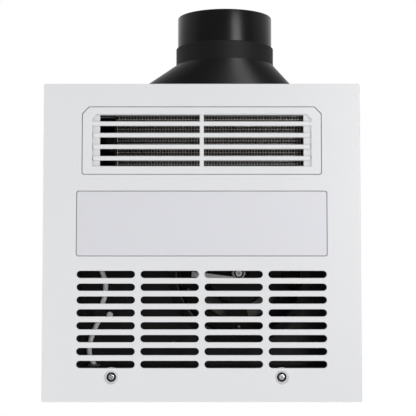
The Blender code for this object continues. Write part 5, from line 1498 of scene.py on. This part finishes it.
@dataclass
class Flap:
    """Backdraught flap: ribbed disc on a barrel."""

    back: float = -0.1933
    front: float = -0.1945
    radius: float = 0.040
    boss_radius: float = 0.006
    boss_z: Flat = (0.0030, 0.0008)
    ribs: tuple[float, ...] = (-0.022, 0.0, 0.022)
    half_rib: float = 0.0006
    rib_y: Flat = (-0.030, 0.032)
    rib_z: Flat = (0.0008, 0.0022)
    pin: Flat = (-0.1961, 0.135)
    barrel: tuple[Flat, ...] = (
        (0.0015, -0.016), (0.0026, -0.016), (0.0028, -0.0158),
        (0.0028, 0.0158), (0.0026, 0.016), (0.0015, 0.016))

    def build(self) -> None:
        """Make the flap."""
        skin = Skin()
        plate = circle(0.0, 0.0, self.radius, 96)

        def outline(offset: float) -> Outline:
            """The disc with its top cut straight under the pin."""
            return [(x, min(y, self.pin[1] - DUCT_Z)) for x, y in plate(offset)]

        skin.slab(outline, self.back - self.front, 0.0, 0.0003, 2)
        skin.slab(circle(0.0, 0.0, self.boss_radius, 32), *self.boss_z, 0.0005, 2)
        (near, far), (low, high) = self.rib_y, self.rib_z
        for x in self.ribs:
            skin.box((x - self.half_rib, near, low), (x + self.half_rib, far, high), 0.0003)
        stand = Matrix.Translation((DUCT_X, self.back, DUCT_Z)) @ Matrix.Rotation(QUARTER, 4, "X")
        skin.move(stand, skin.bm.verts)
        skin.turned(self.barrel, (DUCT_X, *self.pin), (1.0, 0.0, 0.0), 32)
        skin.piece("backdraught_flap_disc", SATIN_BLACK, Body.FLAP, "backdraught_flap")


# Housing

@dataclass
class Housing:
    """Galvanised box with its flange, folded from sheet."""

    half: float = 0.120
    flange_half: float = 0.140
    corner: float = 0.002
    top: float = 0.158
    sheet: float = 0.001
    fold: float = 0.0015
    holes_at: float = 0.130
    hole_radius: float = 0.0025
    exhaust: tuple[Flat, ...] = ((-0.066, 0.056), (0.096, 0.056), (0.096, 0.110), (-0.066, 0.110))
    tab_x: Flat = (0.107, 0.1192)
    tab_y: Flat = (0.0933, 0.1053)
    tab_z: Flat = (0.0303, 0.0313)

    def _shell(self, skin: Skin, shrink: float, flange_z: float) -> list[Ring]:
        """One side of the sheet: flange, walls and top.

        Args:
            skin: The skin.
            shrink: How far this side lies inside the outer one.
            flange_z: Level of the flange on this side.

        Returns:
            The rings of the flange's edge, the exhaust opening and the flange's holes.
        """
        box = square(self.half, self.corner, 5)
        edge = skin.start(square(self.flange_half, self.corner, 5)(0.0), flange_z)
        ring = skin.start(box(self.fold), flange_z)
        holes = [
            skin.start(circle(x, y, self.hole_radius, 24)(0.0), flange_z)
            for x in (-self.holes_at, self.holes_at) for y in (-self.holes_at, self.holes_at)]
        skin.fill(edge, ring, *holes, normal=UP)
        bend = self.fold + shrink
        for turn in (QUARTER * step / 4 for step in range(1, 5)):
            level = flange_z + bend * (1.0 - math.cos(turn))
            ring = skin.level(ring, box(self.fold - bend * math.sin(turn)), level)
        roof = self.top - shrink
        ring = skin.level(ring, box(-shrink), roof - self.fold)
        for turn in (QUARTER * step / 3 for step in range(1, 4)):
            inset = shrink + self.fold * (1.0 - math.cos(turn))
            ring = skin.level(ring, box(-inset), roof - self.fold * (1.0 - math.sin(turn)))
        ring = skin.level(ring, box(-shrink - self.fold - 0.001), roof)
        skin.fill(ring, normal=UP)
        return [edge, self._window(skin, shrink), *holes]

    def _window(self, skin: Skin, shrink: float) -> Ring:
        """Open the exhaust way in the wall towards the duct.

        Args:
            skin: The mesh that has the wall.
            shrink: How far this wall lies inside the housing's outer face.

        Returns:
            The edge of the opening.
        """
        y = -self.half + shrink
        wall = max(
            (face for face in skin.bm.faces if all(abs(vert.co.y - y) < 0.00001 for vert in face.verts)),
            key=lambda face: face.calc_area())
        edges = list(wall.edges)
        bmesh.ops.delete(skin.bm, geom=[wall], context="FACES_ONLY")
        hole = skin.ring([(x, y, z) for x, z in self.exhaust])
        bmesh.ops.triangle_fill(
            skin.bm, edges=edges + hole.edges, use_beauty=True, use_dissolve=False, normal=TO_DUCT)
        return hole

    def build(self) -> None:
        """Make the housing."""
        skin = Skin()
        outer = self._shell(skin, 0.0, 0.0)
        inner = self._shell(skin, self.sheet, -self.sheet)
        for first, second in zip(outer, inner):
            skin.bridge(first, second)
        (near_y, far_y), (low, high) = self.tab_y, self.tab_z
        for side in (-1.0, 1.0):
            near, far = sorted(side * x for x in self.tab_x)
            skin.box((near, near_y, low), (far, far_y, high), 0.0002)
        # The housing takes the sheet with painted shade on its inside.
        skin.piece("housing_box", SHADE_PAINTED_SHEET, Body.BASE, "housing")


# Blower

@dataclass
class Blower:
    """Bellmouth, wheel and nut of the blower."""

    x: float = 0.0368
    y: float = 0.0293
    throat: float = 0.0583
    throat_top: float = 0.044
    ring_low: float = 0.0262
    ring_wall: float = 0.0015
    lip: float = 0.005
    ring_flange: float = 0.070
    wheel_low: float = 0.0395
    wheel_top: float = 0.088
    wheel_radius: float = 0.0705
    wheel_inner: float = 0.0605
    end_ring: float = 0.0025
    hub_plate: float = 0.002
    cup: float = 0.0325
    cup_floor: float = 0.068
    cup_wall: float = 0.0018
    boss_height: float = 0.006
    blades: int = 30
    half_blade: float = 0.0005
    blade_lean: float = math.radians(9.0)
    blade_shares: tuple[float, ...] = (0.0, 0.25, 0.5, 0.75, 1.0)
    blade_seats: Flat = (0.0012, 0.0010)
    blade_gap: float = 0.0003
    window: Flat = (0.0334, 0.0465)
    windows: int = 5
    window_arc: float = math.radians(45.0)
    window_turn: float = math.radians(54.0)
    crown_inner: float = 0.051
    crown: Flat = (0.0845, 0.0857)
    rivet_circle: float = 0.055
    rivet_turn: float = math.radians(18.0)
    rivet_levels: Flat = (0.0845, 0.0883)
    nut_radius: float = 0.0075
    nut_bore: float = 0.0051
    tab_offset: float = 0.008
    tab_turn: float = math.radians(7.0)
    tab_sides: tuple[Flat, Flat] = ((-0.048, -0.004), (-0.0005, 0.0012))
    tab_sheet: float = 0.0012

    def _place(self, extra_y: float = 0.0) -> Matrix:
        """Shift to the wheel's axis."""
        return Matrix.Translation((self.x, self.y + extra_y, 0.0))

    def _turned(self, name: str, finish: Finish, body: Body, profile: Outline, steps: int, *nodes: str,
                closed: bool = True) -> None:
        """Make a piece by spinning a profile round the wheel's axis.

        Args:
            name: The piece's name.
            finish: Its finish.
            body: The body it rides on.
            profile: Points of (radius, height).
            steps: Steps of the full turn.
            nodes: The CAD nodes it stands for.
            closed: Whether the profile is closed.
        """
        skin = Skin()
        skin.turned(profile, (self.x, self.y, 0.0), steps=steps, closed=closed)
        skin.piece(name, finish, body, *nodes)

    def _inlet(self) -> None:
        """Bellmouth ring under the plate."""
        bend = (self.throat + self.lip, self.ring_low + self.lip)
        flange, low, wall, top = self.ring_flange, self.ring_low, self.ring_wall, self.throat_top
        self._turned("bellmouth", GLOSS_BLACK, Body.BASE, [
            (flange - 0.0003, low + wall), (flange, low + 0.001), (flange, low + 0.0004),
            (flange - 0.0004, low),
            *arc(bend, self.lip, 3 * QUARTER, 2 * QUARTER, 10),
            (self.throat, top - 0.0003), (self.throat + 0.0004, top), (self.throat + wall, top),
            *arc(bend, self.lip - wall, 2 * QUARTER, 3 * QUARTER, 8)], 128, "inlet_ring")

    def _hub(self, skin: Skin) -> None:
        """Hub plate with windows and the cup in its middle.

        Args:
            skin: The mesh that it adds to.
        """
        top, low = self.wheel_top, self.wheel_top - self.hub_plate
        rim = circle(0.0, 0.0, self.wheel_radius, 96)(0.0)
        middle = circle(0.0, 0.0, self.cup, 96)
        top_edge = skin.start(rim, top)
        low_edge = skin.level(top_edge, rim, low)
        top_cup = skin.start(middle(-self.cup_wall), top)
        low_cup = skin.start(middle(0.0), low)
        tops, lows = [top_edge, top_cup], [low_edge, low_cup]
        inner, outer = self.window
        for index in range(self.windows):
            turn = self.window_turn + math.tau * index / self.windows
            start, end = turn - self.window_arc / 2, turn + self.window_arc / 2
            shape = arc((0.0, 0.0), outer, start, end, 10) + arc((0.0, 0.0), inner, end, start, 10)
            ring = skin.start(shape, top)
            tops.append(ring)
            lows.append(skin.level(ring, shape, low))
        skin.fill(*tops, normal=UP)
        skin.fill(*lows)
        floor = self.cup_floor - self.cup_wall
        boss = floor - self.boss_height
        ring = skin.climb(low_cup, circle(0.0, 0.0, 0.0, 96), (
            (0.0316, floor + 0.001), (0.0306, floor), (0.0100, floor), (0.009, floor - 0.001),
            (0.009, boss + 0.0004), (0.0086, boss), (0.0043, boss), (0.0043, self.cup_floor),
            (0.0288, self.cup_floor)))
        skin.bridge(ring, top_cup)

    def _blades(self, skin: Skin) -> None:
        """Forward curved blades between the hub plate and the end ring.

        Args:
            skin: The mesh that it adds to.
        """
        low, high = self.wheel_inner + self.blade_gap, self.wheel_radius - self.blade_gap
        foot_seat, head_seat = self.blade_seats
        for index in range(self.blades):
            near, far = [], []
            for share in self.blade_shares:
                radius = low + (high - low) * share
                angle = math.tau * index / self.blades + self.blade_lean * share * share
                near.append((radius, angle - self.half_blade / radius))
                far.append((radius, angle + self.half_blade / radius))
            edge = near + far[::-1]
            shape = [(radius * math.cos(angle), radius * math.sin(angle)) for radius, angle in edge]
            foot = skin.start(shape, self.wheel_low + foot_seat)
            head = skin.level(foot, shape, self.wheel_top - head_seat)
            skin.cap(foot, head)

    def _wheel(self) -> None:
        """Blower wheel."""
        skin = Skin()
        self._hub(skin)
        self._blades(skin)
        inner, outer, low = self.wheel_inner, self.wheel_radius, self.wheel_low
        skin.turned([
            (inner, low + 0.0004), (inner + 0.0004, low), (outer - 0.0004, low), (outer, low + 0.0004),
            (outer, low + self.end_ring), (inner, low + self.end_ring)], (0.0, 0.0, 0.0), steps=96)
        skin.move(self._place(), skin.bm.verts)
        low, high = self.crown
        crown = [(self.crown_inner, high), (self.crown_inner, low), (outer, low), (outer, high)]
        skin.turned(crown, (self.x, self.y, 0.0), steps=96)
        skin.piece("blower_wheel_moulding", WHEEL_BLACK, Body.WHEEL, "impeller", "impeller_cage")

    def _nut(self) -> None:
        """Nut with its long locking tab and its insert."""
        skin = Skin()
        low, high = (corner.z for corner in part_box("impeller_nut"))
        nut, bore = circle(0.0, 0.0, self.nut_radius, 6), circle(0.0, 0.0, self.nut_bore, 6)
        first = skin.start(bore(0.0), high)
        steps = ((-0.0004, high), (0.0, high - 0.0004), (0.0, low + 0.0006), (-0.0008, low))
        ring = skin.climb(first, nut, steps)
        skin.bridge(skin.level(ring, bore(0.0), low), first)
        skin.move(self._place(), skin.bm.verts)
        skin.piece("lock_nut", SCREW_STEEL, Body.WHEEL, "impeller_nut")
        skin = Skin()
        near, far = self.tab_sides
        skin.box((*near, high - self.tab_sheet), (*far, high), 0.0004)
        skin.move(self._place(self.tab_offset) @ Matrix.Rotation(self.tab_turn, 4, "Z"), skin.bm.verts)
        # Lock tab in near-white matt: painted highlight on plated steel.
        skin.piece("lock_tab", GLINT_WHITE_STEEL, Body.WHEEL, "impeller_nut")
        self._turned("nut_insert", SATIN_BLACK, Body.WHEEL, [
            (0.0043, high - 0.0004), (0.0043, low + 0.0002), (0.0045, low), (0.0050, low),
            (0.0050, high - 0.0004)], 32)

    def _shaft(self) -> None:
        """Motor shaft with a chamfered end and a centre drilling."""
        low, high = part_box("motor_shaft")
        radius = (high.x - low.x) / 2
        self._turned("shaft_rod", BRIGHT_STEEL, Body.WHEEL, [
            (0.0, high.z), (radius - 0.0003, high.z), (radius, high.z - 0.0003), (radius, low.z + 0.0005),
            (radius - 0.0005, low.z), (0.0012, low.z), (0.0, low.z + 0.0011)],
            48, "motor_shaft", closed=False)

    def _rivets(self) -> None:
        """Rivet heads on both sides of the hub."""
        skin = Skin()
        dome = [
            (0.0, 0.0012), (0.0014, 0.00105), (0.0025, 0.0006), (0.0032, 0.0), (0.0032, -0.0002),
            (0.0, -0.0002)]
        for index in range(self.windows):
            turn = self.rivet_turn + math.tau * index / self.windows
            x, y = self.x + self.rivet_circle * math.cos(turn), self.y + self.rivet_circle * math.sin(turn)
            for level, side in zip(self.rivet_levels, (DOWN, UP)):
                skin.turned(dome, (x, y, level), side, 20, closed=False)
        skin.piece("wheel_rivets", RIVET_STEEL, Body.WHEEL)

    def build(self) -> None:
        """Make the blower's pieces."""
        self._inlet()
        self._wheel()
        self._rivets()
        self._nut()
        self._shaft()


# Warm air path

@dataclass
class WarmAirPath:
    """Woven guard and corrugated fins behind the louvre."""

    left: float = -0.0817
    right: float = 0.0977
    far: float = -0.1174
    near: float = -0.0613
    guard_z: float = 0.0046
    pitch: float = 0.00276
    wire: float = 0.00041
    wave: float = 0.8
    frame_wire: float = 0.0006
    frame_inset: float = 0.0001
    frame_reach: float = 0.0005
    fold_z: float = -0.0035
    fold_far: float = -0.1234
    fin_pitch: float = 0.0055
    fin_sheet: float = 0.0003
    fin_strips: int = 4

    def _guard(self) -> None:
        """Woven net of crossing wires with a wire frame."""
        skin = Skin()
        left, right, far, near = self.left, self.right, self.far, self.near
        columns, rows = int((right - left) / self.pitch), int((near - far) / self.pitch)
        xs = [left + column * (right - left) / columns for column in range(columns + 1)]
        drop = (self.guard_z - self.fold_z) / 3
        fold = [(far + 0.0003, self.guard_z - drop * step) for step in (1, 2)]
        fold += [(y, self.fold_z) for y in (far, (far + self.fold_far) / 2, self.fold_far)]
        net = [(far + row * (near - far) / rows, self.guard_z) for row in range(rows + 1)]

        def lift(row: int, column: int) -> float:
            """Height of one wire over the net's level at a crossing, and of the other one under it."""
            return self.wire * self.wave * (1 if (row + column) % 2 else -1)

        for column, x in enumerate(xs[1:-1], 1):
            folded, flat = (
                [Vector((x, y, z + lift(row, column))) for row, (y, z) in enumerate(part)]
                for part in (fold, net))
            skin.tube(folded[::-1] + flat, self.wire, 4)
        for row, (y, z) in enumerate(net[1:-1] + fold, 1):
            skin.tube([Vector((x, y, z - lift(row, column))) for column, x in enumerate(xs)], self.wire, 4)
        wire, inset = self.frame_wire, self.frame_inset
        for low, high in (
                ((left, far), (right, far + wire)), ((left, near - wire), (right, near)),
                ((left + inset, far + inset), (left + wire, near - inset)),
                ((right - wire, far + inset), (right - inset, near - inset))):
            bottom, top = self.guard_z - self.frame_reach, self.guard_z + self.frame_reach
            skin.box((*low, bottom), (*high, top), 0.0002)
        # Net in near-white wire colour: painted light.
        skin.piece("guard_net", GUARD_WIRE, Body.BASE, "heater_guard")

    def _fins(self) -> None:
        """Corrugated strips of the heater."""
        sheet = self.fin_sheet
        for node in (f"heater_fins_{index}" for index in range(1, self.fin_strips + 1)):
            low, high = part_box(node)
            folds = int((high.x - low.x) / self.fin_pitch) * 2
            step = (high.x - low.x - sheet) / folds
            crests = [
                (low.x + fold * step, high.y - 2 * sheet if fold % 2 else low.y)
                for fold in range(folds + 1)]
            strip = crests + [(x + sheet, y + sheet) for x, y in reversed(crests)]
            skin = Skin()
            foot = skin.start(strip, low.z)
            head = skin.level(foot, strip, high.z)
            skin.fill(foot)
            skin.fill(head, normal=UP)
            # Fin strips near black: painted shade.
            skin.piece(node.replace("heater_fins", "fin_strip"), FIN_METAL, Body.BASE, node)

    def build(self) -> None:
        """Make the guard and the fins."""
        self._guard()
        self._fins()


# Wiring

LAMP_LEAD_ROUTE = (
    (-0.0940, 0.0003, 0.0248), (-0.0940, 0.0035, 0.0249), (-0.0948, 0.0085, 0.0250),
    (-0.0966, 0.0145, 0.0250), (-0.0980, 0.0205, 0.0250), (-0.0977, 0.0270, 0.0250),
    (-0.0957, 0.0325, 0.0250), (-0.0941, 0.0380, 0.0250), (-0.0938, 0.0440, 0.0250),
    (-0.0945, 0.0510, 0.0250), (-0.0959, 0.0560, 0.0248), (-0.0977, 0.0620, 0.0247),
    (-0.1006, 0.0750, 0.0244), (-0.1031, 0.0812, 0.0242), (-0.1058, 0.0875, 0.0239),
    (-0.1077, 0.0935, 0.0235), (-0.1089, 0.0995, 0.0229), (-0.1092, 0.1045, 0.0222),
    (-0.1086, 0.1085, 0.0214), (-0.1072, 0.1120, 0.0208), (-0.1056, 0.1145, 0.0205),
    (-0.1046, 0.1168, 0.0205), (-0.1045, 0.1195, 0.0205), (-0.1045, 0.1245, 0.0205),
    (-0.1038, 0.1278, 0.0210), (-0.1013, 0.1301, 0.0222), (-0.0978, 0.1310, 0.0242),
    (-0.0951, 0.1310, 0.0266), (-0.0943, 0.1309, 0.0292), (-0.0942, 0.1308, 0.0319),
)
HEATER_LEAD_ROUTE = (
    (-0.0803, -0.0725, 0.0380), (-0.0880, -0.0725, 0.0380), (-0.0955, -0.0710, 0.0382),
    (-0.1025, -0.0665, 0.0387), (-0.1078, -0.0590, 0.0395), (-0.1108, -0.0490, 0.0405),
    (-0.1118, -0.0370, 0.0415), (-0.1120, 0.0100, 0.0440),
    (-0.1120, 0.0600, 0.0455), (-0.1118, 0.0900, 0.0460),
    (-0.1104, 0.0990, 0.0460), (-0.1074, 0.1068, 0.0460), (-0.1047, 0.1122, 0.0460),
    (-0.1041, 0.1158, 0.0460), (-0.1040, 0.1195, 0.0460), (-0.1040, 0.1255, 0.0460),
    (-0.1032, 0.1288, 0.0460), (-0.1010, 0.1307, 0.0460), (-0.0970, 0.1312, 0.0460),
)


@dataclass
class Wiring:
    """Leads, terminal box and cable gland."""

    lead_radius: float = 0.0025
    corner: float = 0.0025
    wall: float = 0.0018
    post: float = 0.0085
    gland_grip: float = 0.0035
    gland_length: float = 0.0157
    gland_ribs: int = 6
    rib_pitch: float = 0.0011

    def _lead(self, node: str, route: Section, finish: Finish) -> None:
        """One lead along its route.

        Args:
            node: The CAD node.
            route: Points of its centre line.
            finish: Its finish.
        """
        skin = Skin()
        skin.tube(smooth_route(route, 4), self.lead_radius, 16)
        skin.piece(f"{node}_run", finish, Body.BASE, node)

    def _shell(self, skin: Skin, node: str, steps: Sequence[tuple[float, float, float]]) -> None:
        """Closed shell with round corners that faces along Y.

        Args:
            skin: The skin to add it to.
            node: The CAD node whose box it fills.
            steps: Its rings, as an offset of the outline, 0 for the box's near side or 1 for its
                far side, and the distance from there.
        """
        low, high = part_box(node)
        outline = rounded((low.x, low.z), (high.x, high.z), self.corner, 5)
        rings = [
            [(x, (high.y if far else low.y) + distance, z) for x, z in outline(offset)]
            for offset, far, distance in steps]
        back = ring = skin.ring(rings[0])
        for places in rings[1:]:
            ring = skin.grow(ring, places)
        skin.fill(back, normal=TO_DUCT)
        skin.fill(ring, normal=FROM_DUCT)

    def _terminal_box(self) -> None:
        """Open box and its cover."""
        skin = Skin()
        wall = self.wall
        self._shell(skin, "terminal_box", (
            (-0.0006, 0, 0.0), (0.0, 0, 0.0006), (0.0, 1, -0.0003), (-0.0003, 1, 0.0),
            (0.0002 - wall, 1, 0.0), (-wall, 1, -0.0003), (-wall, 0, wall)))
        low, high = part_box("terminal_box")
        side = self.post + wall
        for left, foot in ((low.x + wall, high.z - side), (high.x - side, low.z + wall)):
            far = (left + self.post, high.y - 0.0002, foot + self.post)
            skin.box((left, low.y + 0.0010, foot), far, 0.0006)
        skin.piece("terminal_box_moulding", MATT_BLACK, Body.BASE, "terminal_box")
        skin = Skin()
        self._shell(skin, "terminal_cover", (
            (-0.0002, 0, 0.0), (0.0, 0, 0.0002), (0.0, 1, -0.0008), (-0.0002, 1, -0.0003),
            (-0.0008, 1, 0.0), (-0.0045, 1, 0.0), (-0.0049, 1, -0.0004), (-0.0055, 1, -0.0004),
            (-0.0059, 1, 0.0)))
        skin.piece("terminal_cover_moulding", MATT_BLACK, Body.BASE, "terminal_cover")

    def _gland(self) -> None:
        """Cable gland with a thread, a ribbed grip and a domed nut."""
        low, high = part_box("cable_gland")
        middle, grip, top = (low + high) / 2, self.gland_grip, self.gland_length
        profile = [
            (grip, -0.0051), (0.0082, -0.0051), (0.0085, -0.0048), (0.0085, 0.0), (0.0108, 0.0),
            (0.0110, 0.0002), (0.0110, 0.0018), (0.0108, 0.0020), (0.0094, 0.0020)]
        for level in (0.0024 + rib * self.rib_pitch for rib in range(self.gland_ribs)):
            profile += [(0.0094, level), (0.0090, level + 0.0005)]
        profile += [
            (0.0094, 0.0094), (0.0092, 0.0118), (0.0084, 0.0140), (0.0070, 0.0153), (0.0052, top),
            (grip, top)]
        skin = Skin()
        skin.turned(profile, (high.x - top, middle.y, middle.z), (1.0, 0.0, 0.0))
        skin.piece("cable_gland_body", MATT_BLACK, Body.BASE, "cable_gland")

    def build(self) -> None:
        """Make the wiring."""
        self._lead("lamp_lead", LAMP_LEAD_ROUTE, SHEATH)
        self._lead("heater_lead", HEATER_LEAD_ROUTE, SLEEVE)
        self._terminal_box()
        self._gland()


# Carried-over solids

KEPT_FINISHES: dict[Finish, tuple[str, ...]] = {
    INNER_WHITE: ("lamp_plug", "lamp_socket", "terminal_block"),
    SATIN_BLACK: ("blower_plate",),
    CAPACITOR_CASE: ("run_capacitor",),
    MATT_BLACK: ("scroll_casing", "lead_clamp", "light_driver", "air_door", "heater_frame"),
    SHEET_BLACK: ("warm_air_duct",),
    GALVANISED: ("light_tray", "hinge_bracket_left", "hinge_bracket_right"),
    MOTOR_SHELL: ("fan_motor",),
    BRIGHT_STEEL: ("flap_pin",),
    DARK_CAN: ("thermal_cutout", "door_motor"),
    # Heater bars near black: painted shade.
    ELEMENT_METAL: ("heater_bar_1", "heater_bar_2"),
    CIRCUIT: ("light_board",),
    RUBBER: ("lamp_grommet", "power_grommet"),
}


def dress_kept_nodes() -> None:
    """Give every CAD node that still shows its finish."""
    for finish, names in KEPT_FINISHES.items():
        for name in names:
            node = frame["nodes"][name]
            node.data.materials.clear()
            node.data.materials.append(finish.material())
            LOG.info("%s: kept, %s", name, finish.name)


# Studio

@dataclass(frozen=True)
class SoftBox:
    """A rectangular lamp, with its middle, the point it looks at, its width and height, and its watts."""

    name: str
    place: Point
    aim: Point
    size: Flat
    power: float
    in_gloss: bool = True
    in_diffuse: bool = True

    def hang(self) -> None:
        """Add the lamp to the scene."""
        data = bpy.data.lights.new(self.name, "AREA")
        data.shape = "RECTANGLE"
        data.size, data.size_y = self.size
        data.energy = self.power
        lamp = bpy.data.objects.new(self.name, data)
        lamp.location = self.place
        lamp.rotation_euler = (Vector(self.aim) - Vector(self.place)).to_track_quat("-Z", "Y").to_euler()
        lamp.visible_camera = False
        lamp.visible_glossy = self.in_gloss
        lamp.visible_diffuse = self.in_diffuse
        bpy.context.scene.collection.objects.link(lamp)


KEY_PLACE = (0.578, -0.456, -0.953)
ORIGIN = (0.0, 0.0, 0.0)
LAMPS = (
    SoftBox("key_box", KEY_PLACE, (0.0, -0.2, 0.0), (0.34, 0.34), 0.9, in_gloss=False),
    SoftBox("gloss_card", KEY_PLACE, (0.0, -0.456, 0.0), (1.15, 0.42), 20.5, in_diffuse=False),
    SoftBox("fill_left", (-0.75, 0.35, -1.2), ORIGIN, (0.9, 0.9), 4.3, in_gloss=False),
    SoftBox("fill_right", (0.75, 0.35, -1.2), ORIGIN, (0.9, 0.9), 2.0, in_gloss=False),
    SoftBox("near_strip", (0.0, 1.1, -0.16), ORIGIN, (1.2, 0.3), 2.5),
    SoftBox("far_strip", (0.0, -1.1, -0.16), ORIGIN, (1.2, 0.3), 1.8),
    SoftBox("left_strip", (-1.1, 0.0, -0.16), ORIGIN, (0.12, 1.2), 2.4),
    SoftBox("right_strip", (1.1, 0.0, -0.16), ORIGIN, (0.3, 1.2), 1.8, in_gloss=False),
    SoftBox("top_box", (0.5, 0.9, 1.5), (0.0, 0.0, 0.1), (1.0, 1.0), 6.0),
)


@dataclass
class Studio:
    """Floor, world, lamps and the photograph's camera."""

    floor_z: float = -1.55
    floor_half: float = 6.0
    floor_paint: Finish = Moulding("floor_paint", (0.94, 0.94, 0.94), roughness=0.9, drift=0.01)
    ambient: float = 0.55
    camera_place: Point = (0.0059, 0.036, -1.0985)
    tilt: float = math.radians(3.58)
    focal_px: float = 1150.0
    frame_px: float = 416.0
    sensor: float = 36.0

    def _world(self) -> None:
        """White for what the camera, gloss and glass see, and a plain grey light for the rest."""
        world = bpy.data.worlds.new("studio")
        world.use_nodes = True
        bpy.context.scene.world = world
        graph = Graph(world.node_tree)
        rays = graph.node("ShaderNodeLightPath").outputs
        kinds = ("Camera", "Glossy", "Transmission")
        camera, gloss, glass = (Value(graph, rays[f"Is {kind} Ray"]) for kind in kinds)
        seen = (camera + gloss + glass).between(0.0, 1.0)
        level = seen * (1.0 - self.ambient) + self.ambient
        inputs = {"Color": rgba((1.0, 1.0, 1.0)), "Strength": level}
        background = graph.node("ShaderNodeBackground", inputs=inputs)
        graph.node("ShaderNodeOutputWorld", inputs={"Surface": background.outputs[0]})

    def _floor(self) -> None:
        """Pale floor far below the object."""
        skin = Skin()
        made = bmesh.ops.create_grid(skin.bm, x_segments=1, y_segments=1, size=self.floor_half)["verts"]
        skin.move(Matrix.Translation((0.0, 0.0, self.floor_z)), made)
        skin.linked("floor", self.floor_paint)

    def _camera(self) -> None:
        """Camera at the photograph's viewing angle, looking up at the panel."""
        data = bpy.data.cameras.new("photo_camera")
        data.sensor_width = self.sensor
        data.lens = self.focal_px / self.frame_px * self.sensor
        data.clip_start = 0.01
        camera = bpy.data.objects.new("photo_camera", data)
        slope, rise = math.sin(self.tilt), math.cos(self.tilt)
        turn = Matrix(((1.0, 0.0, 0.0), (0.0, -rise, slope), (0.0, -slope, -rise)))
        camera.matrix_world = Matrix.Translation(self.camera_place) @ turn.to_4x4()
        bpy.context.scene.collection.objects.link(camera)
        bpy.context.scene.camera = camera

    def build(self) -> None:
        """Set up the studio."""
        bpy.context.scene.view_settings.view_transform = "Standard"
        self._world()
        self._floor()
        for lamp in LAMPS:
            lamp.hang()
        self._camera()


def main() -> None:
    """Build every piece in order and report it."""
    logging.basicConfig(level=logging.INFO, format="%(message)s")
    for maker in (
            Studio(), FrontPanel(), LouvreInsert(), Light(), Fasteners(), DuctCollar(), Flap(), Housing(),
            Blower(), WarmAirPath(), Wiring()):
        maker.build()
        LOG.info("%s done", type(maker).__name__)
    dress_kept_nodes()


if __name__ == "__main__":
    main()
